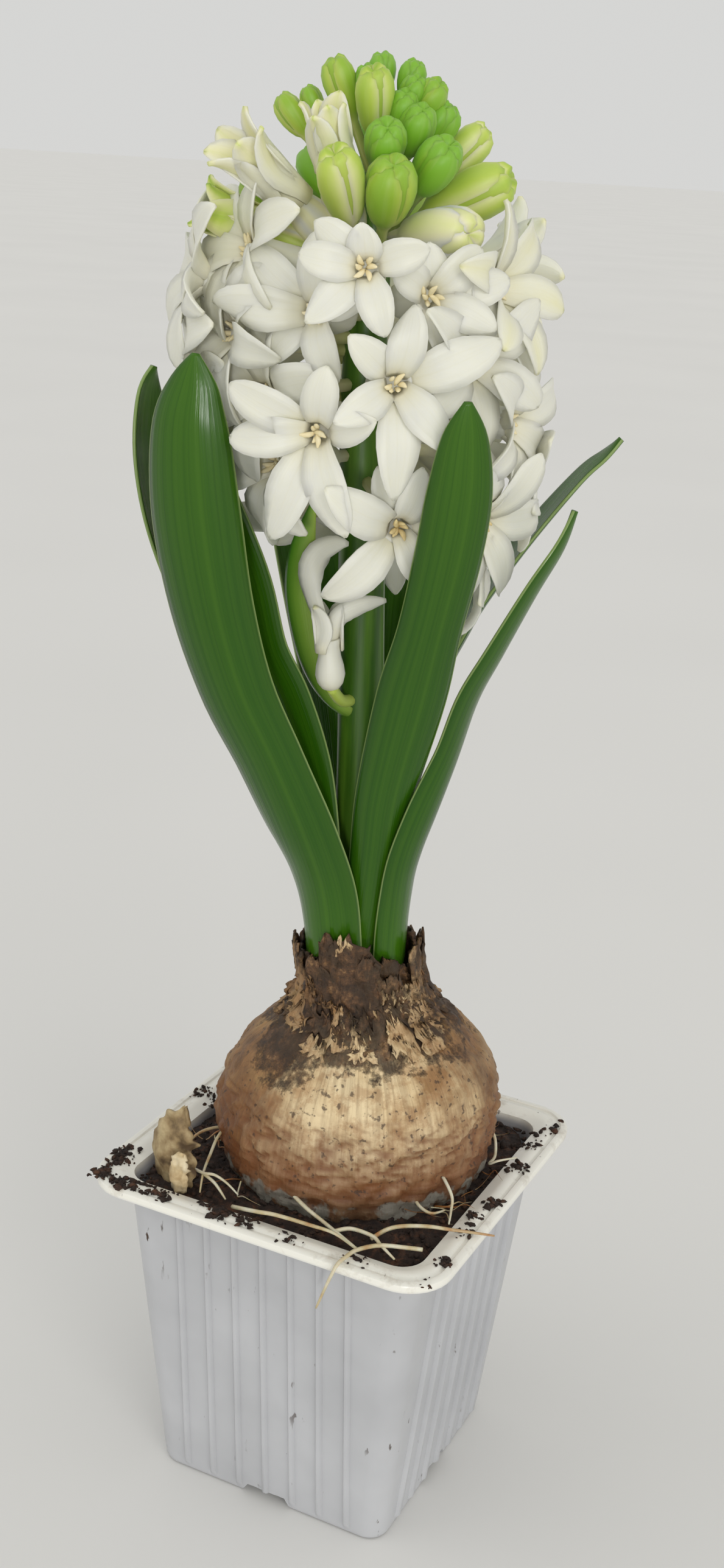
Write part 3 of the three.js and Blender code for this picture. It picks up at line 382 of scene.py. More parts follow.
def unit_slab(columns, rows):
    """A closed flat slab: -1 to 1 across, 0 to 1 along, and 0 for its front skin or 1 for its back."""
    bm = new_shape()
    bmesh.ops.create_grid(bm, x_segments=columns, y_segments=rows, size=1)
    bmesh.ops.solidify(bm, geom=bm.faces[:], thickness=1)
    middle = sum(vert.co.z for vert in bm.verts) / len(bm.verts)
    for vert in bm.verts:
        vert.co = (vert.co.x, (vert.co.y + 1) / 2, 0 if vert.co.z > middle else 1)
    return unit_mesh("unit_slab", bm, lambda co, _: ((co.x + 1) / 2, co.y))


def unit_tube(sides, rings):
    """A closed tube of radius 1, whose rings stand at 0, 1, 2 and so on in Z."""
    bm = new_shape()
    bmesh.ops.create_circle(bm, cap_ends=True, segments=sides, radius=1)
    edges = bm.edges[:]
    for _ in range(rings):
        made = bmesh.ops.extrude_edge_only(bm, edges=edges)["geom"]
        verts = [part for part in made if isinstance(part, bmesh.types.BMVert)]
        fresh = set(verts)
        edges = [part for part in made if isinstance(part, bmesh.types.BMEdge) and set(part.verts) <= fresh]
        bmesh.ops.translate(bm, verts=verts, vec=(0, 0, 1))
    bmesh.ops.contextual_create(bm, geom=edges)

    def uv_of(co, middle):
        turn = math.atan2(co.y, co.x) / math.tau
        away = turn - math.atan2(middle.y, middle.x) / math.tau
        return turn - round(away) + 0.5, co.z / rings

    return unit_mesh("unit_tube", bm, uv_of)


def add_copy(bm, unit, place, tint=0.0, shade=0.0):
    """Adds a copy of a unit mesh, with each point moved to where place says."""
    start = len(bm.verts)
    bm.from_mesh(unit)
    bm.verts.ensure_lookup_table()
    layers = bm.verts.layers.float
    for vert in bm.verts[start:]:
        vert.co = place(*vert.co)
        vert[layers["tint"]] = tint
        vert[layers["shade"]] = shade
    return bm.verts[start:]


def add_piece(name, bm, material, stands_for=(), place=Matrix()):
    """Makes the finished shape an object that rides on the plant's one body."""
    bmesh.ops.transform(bm, matrix=Matrix.Scale(MM, 4) @ place, verts=bm.verts)
    mesh = keep_mesh(name, bm)
    mesh.shade_smooth()
    mesh.materials.append(material)
    piece = add_object(name, mesh)
    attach(piece, "root")
    if stands_for:
        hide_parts(*stands_for)
    return piece


def add_node(tree, kind, numbered=None, stops=(), out=0, **named):
    """Adds a node and gives one of its outputs. Its sockets are filled by number or by name with a value, a
    hex colour or a link, other names are the node's own settings, and a ramp has its stops."""
    node = tree.nodes.new("ShaderNode" + kind)
    filled = dict(numbered or {})
    for name, value in named.items():
        socket = name.replace("_", " ")
        if socket in node.inputs:
            filled[socket] = value
        else:
            setattr(node, name, value)
    for socket, value in filled.items():
        if isinstance(value, bpy.types.NodeSocket):
            tree.links.new(value, node.inputs[socket])
        else:
            node.inputs[socket].default_value = srgb(value) if isinstance(value, str) else value
    if stops:
        elements = node.color_ramp.elements
        while len(elements) < len(stops):
            elements.new(1)
        for element, (position, colour) in zip(elements, stops):
            element.position = position
            element.color = srgb(colour) if isinstance(colour, str) else colour
    return node.outputs[out] if node.outputs else None


def new_material(name):
    """Starts a material, and gives its node tree and the place on the object that its patterns follow."""
    material = bpy.data.materials.new(name)
    material.use_nodes = True
    tree = material.node_tree
    tree.nodes.clear()
    return material, tree, add_node(tree, "TexCoord", out="Object")


def finish_material(tree, **values):
    """Ends a material with its surface shader."""
    add_node(tree, "OutputMaterial", Surface=add_node(tree, "BsdfPrincipled", **values))


def opaque(colour):
    """A colour setting with its alpha."""
    return (*colour, 1)


# The walls of the pot, in millimetres.
WALL, FLOOR = 1, 1.6
BASE_HALF, NECK_HALF, BRIM_HALF = 27.2, 34, 35.6
BASE_CORNER, NECK_CORNER, RIM_CORNER = 4.6, 6.2, 9.5
LIP_LOW = 72
RIB_COUNT, RIB_PITCH, RIB_FOOT = 7, 6.5, 1.6
# A rib's section: shares of its foot's width, and how much of its rise it has there. Between two ribs the
# wall bends in a little.
RIB_SECTION = [(-0.5, 0), (-0.36, 0.6), (-0.15, 1), (0.15, 1), (0.36, 0.6), (0.5, 0)]
RIB_VALLEY = -0.16
CORNER_STEPS = 9
NOTCH_FOOT, NOTCH_TOP, NOTCH_HEIGHT, NOTCH_DEEP, NOTCH_COVER = 13, 9, 2.5, 9, 1.6
SHARP_OVER = math.radians(38)  # where two faces of the pot meet at more than this, the edge stays sharp


def pot_outline():
    """Points round the pot: quarter, place across a flat or bend in a corner, and share of a rib's rise."""
    outline = []
    for quarter in range(4):
        for rib in range(RIB_COUNT):
            middle = (rib - (RIB_COUNT - 1) / 2) * RIB_PITCH
            outline += [(quarter, middle + share * RIB_FOOT, None, rise) for share, rise in RIB_SECTION]
            if rib < RIB_COUNT - 1:
                outline.append((quarter, middle + RIB_PITCH / 2, None, RIB_VALLEY))
        bends = [math.pi / 2 * step / CORNER_STEPS for step in range(CORNER_STEPS + 1)]
        outline += [(quarter, None, bend, 0) for bend in bends]
    return outline


def outline_point(entry, half, corner, rise):
    """Where a point of the outline lies on a ring with this half width and corner radius."""
    quarter, across, bend, push = entry
    outward = Vector(((0, -1), (1, 0), (0, 1), (-1, 0))[quarter]).to_3d()
    aside = Vector((-outward.y, outward.x, 0))
    if bend is None:
        return outward * (half + push * rise) + aside * across
    straight_part = (outward + aside) * (half - corner)
    return straight_part + (outward * math.cos(bend) + aside * math.sin(bend)) * corner


def box_shape(bm, low, high, taper=0.0):
    """Adds a box between two corners, narrower across its top by the taper on each side."""
    made = bmesh.ops.create_cube(bm, size=1)["verts"]
    middle, size = (low + high) / 2, high - low
    for vert in made:
        narrow = taper if vert.co.z > 0 else 0
        vert.co = middle + Vector(vert.co[axis] * size[axis] for axis in range(3))
        vert.co.x -= math.copysign(narrow, vert.co.x)
    return made


def on_each_side(low, high, taper=0.0):
    """A throwaway object with one such box in the middle of each side of the pot."""
    bm = bmesh.new()
    for quarter in range(4):
        turn = Matrix.Rotation(quarter * math.pi / 2, 3, "Z")
        verts = box_shape(bm, Vector(low), Vector(high), taper)
        bmesh.ops.rotate(bm, verts=verts, cent=(0, 0, 0), matrix=turn)
    bmesh.ops.scale(bm, verts=bm.verts, vec=(MM, MM, MM))
    return add_object("cutter", keep_mesh("cutter", bm))


def combine(piece, tool, operation):
    """Joins the tool to the piece or cuts it away, and removes it."""
    modifier = piece.modifiers.new("combine", "BOOLEAN")
    modifier.object = tool
    modifier.operation = operation
    modifier.solver = "EXACT"
    evaluated = piece.evaluated_get(bpy.context.evaluated_depsgraph_get())
    mesh = bpy.data.meshes.new_from_object(evaluated)
    piece.modifiers.clear()
    piece.data = mesh
    bpy.data.objects.remove(tool)


def pot_material(settings):
    """Polystyrene, pressed from thin sheet: pale and a little blue where it is thin, soft gloss, creamy
    on the thicker rim, with dried splashes of soil."""
    material, tree, place = new_material("pressed_polystyrene")
    height = add_node(tree, "SeparateXYZ", Vector=place, out="Z")
    low, high = (LIP_LOW - 0.8) * MM, (LIP_LOW + 0.6) * MM
    rim = add_node(tree, "MapRange", Value=height, From_Min=low, From_Max=high)
    cloud = add_node(tree, "TexNoise", Vector=place, Scale=45, Detail=3)
    body = add_node(tree, "ValToRGB", Fac=cloud, stops=[(0.3, "#B2B3B6"), (0.7, "#C1C2C5")])
    streaks = add_node(tree, "Mapping", Vector=place, Scale=(1, 1, 0.3))
    specks = add_node(tree, "TexNoise", Vector=streaks, Scale=520, Detail=3, Roughness=0.6)
    dirt = add_node(tree, "MapRange", Value=specks, From_Min=0.67, From_Max=0.71)
    patches = add_node(tree, "TexNoise", Vector=place, Scale=90, Detail=2)
    patchy = add_node(tree, "MapRange", Value=patches, From_Min=0.45, From_Max=0.62)
    splashed = add_node(tree, "Math", {0: dirt, 1: patchy}, operation="MULTIPLY")
    film = add_node(tree, "TexNoise", Vector=place, Scale=110, Detail=6, Roughness=0.7)
    smears = add_node(tree, "MapRange", Value=film, From_Min=0.54, From_Max=0.66, To_Max=0.36)
    on_rim = add_node(tree, "Math", {0: smears, 1: rim}, operation="MULTIPLY")
    colour = body
    for share, over in ((rim, opaque(settings.rim_colour)), (on_rim, "#9C8B74"), (splashed, "#4A3B30")):
        colour = add_node(tree, "Mix", {0: share, 6: colour, 7: over}, data_type="RGBA", out=2)
    rough = add_node(tree, "MapRange", Value=splashed, To_Min=0.3, To_Max=0.9)
    uneven = add_node(tree, "TexNoise", Vector=place, Scale=130, Detail=2)
    bump = add_node(tree, "Bump", Height=uneven, Strength=0.12, Distance=0.0006)
    finish_material(tree, Base_Color=colour, Roughness=rough, Normal=bump, IOR=1.55, Subsurface_Weight=0.12,
                    Subsurface_Radius=(0.6, 0.6, 0.7), Subsurface_Scale=0.002)
    return material


def make_pot(settings):
    """The square pot with its ribs, folded rim and four notches."""
    outline = pot_outline()
    height, rim = POT_HEIGHT, RIM_HALF
    inner_neck, inner_corner = NECK_HALF - WALL, NECK_CORNER - WALL
    # Each ring: its height, half width and corner radius, and how much of the ribs' rise it has.
    rings = [
        (0, 25.8, 3.4, 0), (0.3, 26.8, 4.2, 0), (1, BASE_HALF + 0.06, BASE_CORNER, 0),
        (1.6, 27.3, BASE_CORNER, 0), (3, 27.5, 4.65, 1), (20, 29.1, 5.05, 1), (37, 30.7, 5.4, 1),
        (54, 32.3, 5.8, 1), (70.4, 33.85, 6.15, 1), (LIP_LOW + 0.8, NECK_HALF, NECK_CORNER, 1),
        (LIP_LOW + 0.9, NECK_HALF + 0.4, NECK_CORNER, 0.2), (LIP_LOW + 0.9, rim - 1, RIM_CORNER - 1, 0),
        (LIP_LOW, rim - 0.9, RIM_CORNER - 0.9, 0), (LIP_LOW - 0.1, rim - 0.5, RIM_CORNER - 0.5, 0),
        (LIP_LOW + 0.1, rim - 0.05, RIM_CORNER, 0), (LIP_LOW + 1.2, rim, RIM_CORNER, 0),
        (height - 0.3, rim - 0.15, RIM_CORNER - 0.15, 0), (height, rim - 0.7, RIM_CORNER - 0.7, 0),
        (height, rim - 1.5, RIM_CORNER - 1.5, 0), (height - 0.35, rim - 1.8, RIM_CORNER - 1.8, 0),
        (height - 0.35, rim - 2.4, RIM_CORNER - 2.1, 0), (height - 0.1, rim - 2.7, RIM_CORNER - 2.2, 0),
        (height - 0.05, BRIM_HALF + 0.3, 7.4, 0), (height - 0.3, BRIM_HALF - 0.4, 7, 0),
        (height - 1, inner_neck + 0.2, inner_corner, 0), (LIP_LOW - 1.4, inner_neck - 0.15, inner_corner, 0),
        (FLOOR, BASE_HALF - WALL, BASE_CORNER - WALL, 0),
    ]
    bm = new_shape()

    def place(x, y, ring):
        entry = outline[round(math.atan2(y, x) / math.tau * len(outline)) % len(outline)]
        z, half, corner, rise = rings[round(ring)]
        return outline_point(entry, half, corner, rise * settings.rib_rise / MM) + Vector((0, 0, z))

    add_copy(bm, unit_tube(len(outline), len(rings) - 1), place)
    bmesh.ops.recalc_face_normals(bm, faces=bm.faces)
    pot = add_piece("square_pot", bm, pot_material(settings), ["pot"])
    cover = NOTCH_FOOT / 2 + NOTCH_COVER
    inner = -BASE_HALF + NOTCH_DEEP
    covers = on_each_side(
        (-cover, -BASE_HALF + 0.5, FLOOR / 2), (cover, inner + NOTCH_COVER, NOTCH_HEIGHT + NOTCH_COVER))
    combine(pot, covers, "UNION")
    notches = on_each_side(
        (-NOTCH_FOOT / 2, -BASE_HALF - 2, -0.5), (NOTCH_FOOT / 2, inner, NOTCH_HEIGHT),
        (NOTCH_FOOT - NOTCH_TOP) / 2)
    combine(pot, notches, "DIFFERENCE")
    pot.data.shade_smooth()
    pot.data.set_sharp_from_angle(angle=SHARP_OVER)


SOIL_LEVEL, SOIL_SINKS = 71.6, 0.9  # how high the soil lies in the middle, and how much lower by the wall


def soil_height(x, y):
    """How high the loose soil lies: two sizes of heaps, and two of crumbs."""
    edge = max(abs(x), abs(y)) / (NECK_HALF - WALL)
    heap = 0.9 * ripple(x / 9, y / 9, 3) + 0.8 * ripple(x / 3.4, y / 3.4, 7)
    crumb = 0.7 * abs(ripple(x / 1.3, y / 1.3, 11)) + 0.35 * noise.noise(Vector((x, y, 1)) / 0.6)
    return SOIL_LEVEL - SOIL_SINKS * edge ** 4 + heap + crumb


def soil_material(settings):
    """Peat compost: damp, dark and crumbly, with paler fibres."""
    material, tree, place = new_material("peat_compost")
    grain = add_node(tree, "TexNoise", Vector=place, Scale=420, Detail=5, Roughness=0.65)
    colour = add_node(tree, "ValToRGB", Fac=grain, stops=[
        (0.3, "#140B07"), (0.52, opaque(settings.colour)), (0.7, "#5B3A26"), (0.85, "#8A6242")])
    bump = add_node(tree, "Bump", Height=grain, Strength=0.9, Distance=0.0009)
    finish_material(tree, Base_Color=colour, Roughness=0.85, Normal=bump)
    return material


def make_soil(settings):
    """The soil that fills the pot up to the bulb."""
    cells = 120
    top_half, low_half, low = NECK_HALF - WALL - 0.35, BASE_HALF - WALL + 0.3, 5
    bm = new_shape()

    def place(x, y, skin):
        along = 2 * y - 1
        half = between(top_half, low_half, skin)
        reach = max(abs(x), abs(along)) or 1
        round_off = 1 - 0.1 * (min(abs(x), abs(along)) / reach) ** 6 * reach ** 8
        spot = Vector((x * half * round_off, along * half * round_off, low))
        if skin < 0.5:
            spot.z = soil_height(spot.x, spot.y)
        return spot

    add_copy(bm, unit_slab(cells, cells), place)
    add_piece("potting_soil", bm, soil_material(settings), ["soil"])


# Heaps of loose crumbs: middle x and y, how wide, how many pairs, and how high they lie.
CRUMB_HEAPS = [
    (-37, -36, 3, 46, 74), (-38, -27, 3.4, 40, 74), (-31, -37.4, 3.4, 46, 74), (-22, -36.6, 2.6, 24, 74),
    (-8.4, -35.8, 2.6, 60, 74.1), (-3, -36.6, 3, 18, 74), (9, -37.4, 4, 10, 74), (22, -37, 4, 8, 74),
    (37.2, -28.4, 2, 14, 74), (37.6, -4, 2.2, 22, 74), (36.6, 12, 2.4, 26, 74), (36, 30, 3, 10, 74),
    (-36.4, -30, 2, 30, 74), (-26.6, -35.6, 3, 26, 73.6), (-12, -35, 2, 20, 73.4),
    (35.6, -10, 1.6, 18, 73.6), (37, -16, 3, 8, 74), (35.4, 22, 2, 12, 74), (-36, 4, 4, 20, 74),
    (-37, 24, 4, 12, 74), (-20, 37, 5, 12, 74), (10, 37, 6, 14, 74), (38, -37, 2, 5, 74),
]
SCATTER_HALF = 32  # half the width of the square that single crumbs and hair roots lie in


def make_crumbs(settings):
    """Loose crumbs of soil, on the soil and on the rim."""
    chance = random.Random(settings.seed)
    bm = bmesh.new()
    bmesh.ops.create_icosphere(bm, subdivisions=1, radius=1)
    for vert in bm.verts:
        vert.co *= 0.75 + 0.5 * chance.random()
    unit = keep_mesh("crumb", bm)
    bm = new_shape()

    def crumb(x, y, z, size):
        turn = Matrix.Rotation(math.tau * chance.random(), 3, "Z")
        turn = turn @ Matrix.Rotation(chance.random() * 3, 3, "X")
        shape = Vector((1, 0.5 + 0.5 * chance.random(), 0.35 + 0.4 * chance.random())) * size
        middle = Vector((x, y, z))
        add_copy(bm, unit, lambda *spot: middle + turn @ (Vector(spot) * shape))

    for _ in range(settings.count):
        x, y = (chance.uniform(-SCATTER_HALF, SCATTER_HALF) for _ in range(2))
        crumb(x, y, soil_height(x, y) + 0.2, 0.35 + 0.9 * chance.random() ** 2)
    for x, y, wide, pairs, z in CRUMB_HEAPS:
        for _ in range(2 * pairs):
            px, py = chance.gauss(x, wide / 2), chance.gauss(y, wide / 2)
            edge = max(abs(px), abs(py))
            if edge < RIM_HALF - 0.8:
                size = 0.22 + 0.75 * chance.random() ** 2.5
                on_slope = between(72.4, 74, (edge - 32.5) / 3)
                crumb(px, py, z if edge > BRIM_HALF else on_slope, size)
    add_piece("loose_crumbs", bm, soil_material(settings))


def coat_depth(turn, height):
    """0 on the outermost coat of the bulb and 1 where it has worn away and an older coat shows."""
    rough = 1.2 * ripple(turn / 7, height / 5, 2) + 0.6 * ripple(turn / 2, height, 4)
    return smooth(-0.6, 0.6, height - straight(COAT_EDGE, turn) + rough)


def swept(turn, height):
    """The height of a level line on the bulb that sweeps up a little round it."""
    return height + 0.06 * turn


def bulb_crease(turn, height):
    """How deep a crease runs here, from 0 to 1: most lie level and sweep up, across the lower half."""
    slant = swept(turn, height) + 2 * ripple(turn / 25, height / 9, 1)
    level = 1 - abs(ripple(turn / 17, slant / 2.1, 5)) * 4.5
    upright = 1 - abs(ripple(turn / 5.5, slant / 6, 8)) * 5
    return max(0, level, 0.6 * upright) * smooth(100, 86, height)


def bulb_relief(turn, height, radius):
    """How far the bulb's skin stands out: lumps, creases, pleats below the neck, and a lower older coat."""
    spot = Vector((radius * math.cos(math.radians(turn)), radius * math.sin(math.radians(turn)), height))
    lumps = 0.8 * noise.noise(spot / 15) + 0.35 * noise.noise(spot / 6)
    folds = ripple(turn / 9, swept(turn, height) / 3, 6) * 0.7 * smooth(104, 88, height)
    pleats = ripple(turn / 5, height / 14, 9) * 0.8 * smooth(94, 106, height)
    crumple = (noise.noise(spot / 2.6) * 1.5 + noise.noise(spot / 1.1) * 0.5) * smooth(98, 109, height)
    creases = 0.9 * bulb_crease(turn, height)
    return lumps + folds - creases + pleats + crumple - 0.7 * coat_depth(turn, height)


def bulb_radius(height):
    """The bulb's smooth radius at a height above its widest part."""
    return straight([(level, radius) for radius, level in BULB_SHOULDER], height)


def neck_tear(turn, height):
    """How much higher or lower the torn edge of the neck ends."""
    angle = math.radians(-turn)
    wave = math.sin(3 * angle + 0.6) + 0.6 * math.sin(7 * angle + 2) + 0.5 * math.sin(5 * angle)
    fray = 0.9 * ripple(turn / 3, 0, 1)
    return between(0, 1.5, (height - 114) / 6) * (wave + fray)


# The level direction of the bulb's lit side: painted shade darkens the sides turned away from it.
LIT_SIDE = (0.54, -0.84, 0)


def tunic_material(name, settings, dark=0.0):
    """Bulb tunic: dry papery skin, tan and veined lengthwise, blotched dark where it has rotted, brown
    and scuffed to grey near the soil. The tint layer says how rotten it is, and the shade layer where the
    older coat shows. Painted shade darkens its creases and the sides turned away from the light."""
    material, tree, place = new_material(name)
    height = add_node(tree, "SeparateXYZ", Vector=place, out="Z")
    level = add_node(tree, "VectorMath", {0: place, 1: (1, 1, 0), 2: [-value * MM for value in PLANT_PLACE]},
                     operation="MULTIPLY_ADD")
    way = add_node(tree, "VectorMath", {0: level}, operation="NORMALIZE")
    # The veins run up the bulb, so their noise is stretched along its height, and the folds' round it.
    lifted = add_node(tree, "VectorMath", {0: place, 1: (0, 0, 0.07)}, operation="MULTIPLY")
    along = add_node(tree, "VectorMath", {0: way, 1: (0.03, 0.03, 0), 2: lifted}, operation="MULTIPLY_ADD")
    veins = add_node(tree, "TexNoise", Vector=along, Scale=1400, Detail=5)
    around = add_node(tree, "Mapping", Vector=place, Scale=(0.16, 0.16, 1))
    folds = add_node(tree, "TexNoise", Vector=around, Scale=380, Detail=5)
    cloud = add_node(tree, "TexNoise", Vector=place, Scale=75, Detail=5, Roughness=0.6)
    coat, rot, crease = (add_node(tree, "Attribute", attribute_name=layer, out="Fac")
                         for layer in ("shade", "tint", "crease"))
    outer = add_node(tree, "ValToRGB", Fac=cloud, stops=[
        (0.36, "#A07A4C"), (0.49, opaque(settings.tunic_colour)), (0.63, "#E6D0A6")])
    older = add_node(tree, "ValToRGB", Fac=cloud, stops=[
        (0.34, "#4E3520"), (0.5, "#83603A"), (0.66, "#A98552")])
    # Painted shade: the sides of the bulb turned away from the light are mixed towards the darker older
    # coat.
    lit_facing = add_node(tree, "VectorMath", {0: way, 1: LIT_SIDE}, operation="DOT_PRODUCT", out="Value")
    painted_side_shade = add_node(tree, "MapRange", Value=lit_facing, From_Min=0.45, From_Max=0.97, To_Min=0.8, To_Max=0)
    blush_noise = add_node(tree, "TexNoise", Vector=place, Scale=230, Detail=8, Roughness=0.76)
    blush = add_node(tree, "MapRange", Value=blush_noise, From_Min=0.47, From_Max=0.58, To_Max=0.48)
    veined = add_node(tree, "MapRange", Value=veins, From_Min=0.36, From_Max=0.56, To_Min=0.32, To_Max=0)
    # Painted shade: the bulb's creases are darkened.
    painted_crease_shade = add_node(tree, "MapRange", Value=crease, From_Min=0.2, From_Max=0.9, To_Max=0.85)
    # A brown skirt lies round the lower half, darkest by the soil, and the soil has scuffed it grey.
    wobble = add_node(tree, "Math", {0: cloud, 1: 0.014, 2: height}, operation="MULTIPLY_ADD")
    band = add_node(tree, "MapRange", Value=wobble, From_Min=0.085, From_Max=0.103, To_Min=0.88, To_Max=0)
    lowest = add_node(tree, "MapRange", Value=wobble, From_Min=0.079, From_Max=0.086)
    skirt = add_node(tree, "Mix", {0: lowest, 6: "#3A2010", 7: "#74431F"}, data_type="RGBA", out=2)
    grey_spots = add_node(tree, "TexNoise", Vector=place, Scale=210, Detail=6)
    reach = add_node(tree, "MapRange", Value=height, From_Min=0.075, From_Max=0.081, To_Min=0.1, To_Max=-0.5)
    grey_sum = add_node(tree, "Math", {0: grey_spots, 1: reach}, operation="ADD")
    grey = add_node(tree, "MapRange", Value=grey_sum, From_Min=0.55, From_Max=0.62, To_Max=0.75)
    spots = add_node(tree, "TexNoise", Vector=place, Scale=700, Detail=3)
    speck = add_node(tree, "MapRange", Value=spots, From_Min=0.61, From_Max=0.67, To_Max=0.75)
    blotch_noise = add_node(tree, "TexNoise", Vector=place, Scale=240, Detail=8, Roughness=0.7)
    blotch_sum = add_node(tree, "Math", {0: blotch_noise, 1: rot}, operation="ADD")
    blotch = add_node(
        tree, "MapRange", Value=blotch_sum, From_Min=0.87 - dark, From_Max=0.98 - dark, To_Max=0.85)
    scraps = add_node(tree, "TexNoise", Vector=place, Scale=340, Detail=7, Roughness=0.72)
    rotten = add_node(tree, "ValToRGB", Fac=scraps, stops=[
        (0.38, "#18100A"), (0.5, "#332316"), (0.6, "#5E4129"), (0.71, "#A68154")])
    colour = outer
    for share, over in (
            (painted_side_shade, older), (coat, older), (blush, "#A07448"), (veined, "#70502F"), (painted_crease_shade, "#744A28"),
            (band, skirt), (grey, "#7F7F76"), (speck, "#3E2C20"), (blotch, rotten)):
        colour = add_node(tree, "Mix", {0: share, 6: colour, 7: over}, data_type="RGBA", out=2)
    # The relief adds the veins, the cloud and the rotten scraps to the folds.
    rags = add_node(tree, "Math", {0: scraps, 1: blotch}, operation="MULTIPLY")
    relief = folds
    for part, strength in ((veins, 0.5), (cloud, 0.7), (rags, 1.6)):
        relief = add_node(tree, "Math", {0: part, 1: strength, 2: relief}, operation="MULTIPLY_ADD")
    bump = add_node(tree, "Bump", Height=relief, Strength=0.85, Distance=0.0006)
    finish_material(tree, Base_Color=colour, Roughness=0.6, Normal=bump)
    return material


POCKET_LEAN = -1.2  # how far the pocket in the neck leans left
PLATE_RADIUS = 9  # within this radius the base plate and the pocket's floor stay smooth


def make_bulb(settings):
    """The bulb, with its coats, folds and torn neck."""
    sides, rings = 220, 170
    profile = [through(BULB_PROFILE, ring / rings) for ring in range(rings + 1)]
    pocket = max(range(rings + 1), key=lambda ring: profile[ring][1])
    bm = new_shape()

    def place(x, y, ring):
        ring = round(ring)
        radius, height = profile[ring]
        turn = turn_of(x, y)
        skin = radius > PLATE_RADIUS
        lean = POCKET_LEAN if ring > pocket else straight(BULB_LEAN, height)
        radius = max(radius, 0.02)
        if skin and ring <= pocket:
            radius += bulb_relief(turn, height, radius)
        if radius > PLATE_RADIUS:
            height += neck_tear(turn, height)
        return Vector((x * radius + lean, y * radius, height))

    verts = add_copy(bm, unit_tube(sides, rings), place)
    rot, coat, crease = (bm.verts.layers.float[name] for name in ("tint", "shade", "crease"))
    for vert in verts:
        turn, height = turn_of(vert.co.x, vert.co.y), vert.co.z
        near_neck = smooth(92, 107, height) * 0.52
        left = 0.3 * smooth(100, 135, turn) * smooth(84, 96, height) * smooth(175, 150, turn)
        vert[rot] = near_neck + left + 0.12 * noise.noise(vert.co / 8)
        vert[coat] = coat_depth(turn, height)
        # The crease layer also carries the painted shade in the creases.
        vert[crease] = bulb_crease(turn, height)
    add_piece("bulb_coats", bm, tunic_material("bulb_tunic", settings), ["bulb"], PLANT)


FLAKES = 70  # how many small flakes lie round the foot of the neck


def make_neck_scales(settings):
    """The torn, dried scales that stand round the neck of the bulb, and small flakes below them."""
    chance = random.Random(5)
    unit = unit_slab(12, 10)
    bm = new_shape()

    def scale(turn, foot, tall, wide, lean, dark):
        phase = chance.uniform(0, 99)

        def place(across, along, skin):
            fray = (ripple(across * 3, phase, 0) * 2.6 + ripple(across * 9, phase, 1) * 1.6) / tall
            rise = along * (1 + fray * along) + (1 - along) * 0.3 * ripple(across * 4, phase, 5)
            narrow = 1 - 0.35 * along ** 3 + 0.5 * ripple(along * 4, phase, math.copysign(2, across))
            height = foot + tall * rise
            crease = 0.8 * ripple(across * 2.4, along * 3, phase)
            crease += 0.5 * ripple(across * 6, along * 5, phase)
            angle = turn + math.degrees(across * narrow * wide / 2 / bulb_radius(foot))
            relief = bulb_relief((angle + 180) % 360 - 180, height, 20) * smooth(116, 108, height)
            spread = bulb_radius(height) + relief + lean * along ** 1.5 + crease + 0.3
            where = facing(angle) * (spread + (0.5 - skin) * 0.35)
            return where + Vector((straight(BULB_LEAN, height), 0, height))

        add_copy(bm, unit, place, dark * 0.5, dark)

    for row in NECK_SCALES:
        scale(*row)
    for _ in range(FLAKES):
        height = chance.uniform(102, 113)
        scale(chance.uniform(-180, 180), height, chance.uniform(2, 4.5), chance.uniform(3, 8),
              chance.uniform(0, 0.9), chance.uniform(-0.3, 0.9) * smooth(100, 108, height))
    add_piece("neck_scales", bm, tunic_material("torn_tunic", settings, 0.22), (), PLANT)


def add_tube(bm, unit, points, rings, radius_at, tint=0.0, shade=0.0):
    """Adds a round tube along a smooth curve."""
    frames = []
    for ring in range(rings + 1):
        ahead = heading(points, ring / rings)
        aside = ahead.cross(Vector((0.1, 0.2, 1))).normalized()
        frames.append((Vector(through(points, ring / rings)), aside, ahead.cross(aside)))

    def place(x, y, ring):
        middle, aside, other = frames[round(ring)]
        return middle + (aside * x + other * y) * radius_at(ring / rings)

    return add_copy(bm, unit, place, tint, shade)


def root_material(settings):
    """Bulb roots: fleshy, ivory and damp, tanned and dirty towards the bulb and the tip."""
    material, tree, place = new_material("fleshy_root")
    cloud = add_node(tree, "TexNoise", Vector=place, Scale=260, Detail=4)
    tone = add_node(tree, "Attribute", attribute_name="tint", out="Fac")
    total = add_node(tree, "Math", {0: cloud, 1: tone}, operation="ADD")
    colour = add_node(tree, "ValToRGB", Fac=total, stops=[
        (0.35, opaque(settings.root_colour)), (0.62, "#C2B48C"), (0.85, "#A9713A"), (1, "#6B4B2E")])
    bump = add_node(tree, "Bump", Height=cloud, Strength=0.3, Distance=0.0003)
    finish_material(tree, Base_Color=colour, Roughness=0.42, Normal=bump, Subsurface_Weight=0.15,
                    Subsurface_Scale=0.001)
    return material


THICK_ROOTS, TANNED_ROOTS = 5, (0, 5, 6)  # how many of the first roots are thick, and which are tanned
HAIR_ROOTS, HAIR_BENDS, HAIR_STRIDE = 34, 5, 2.2
HAIR_HALF = 36  # no hair root goes further from the middle of the pot


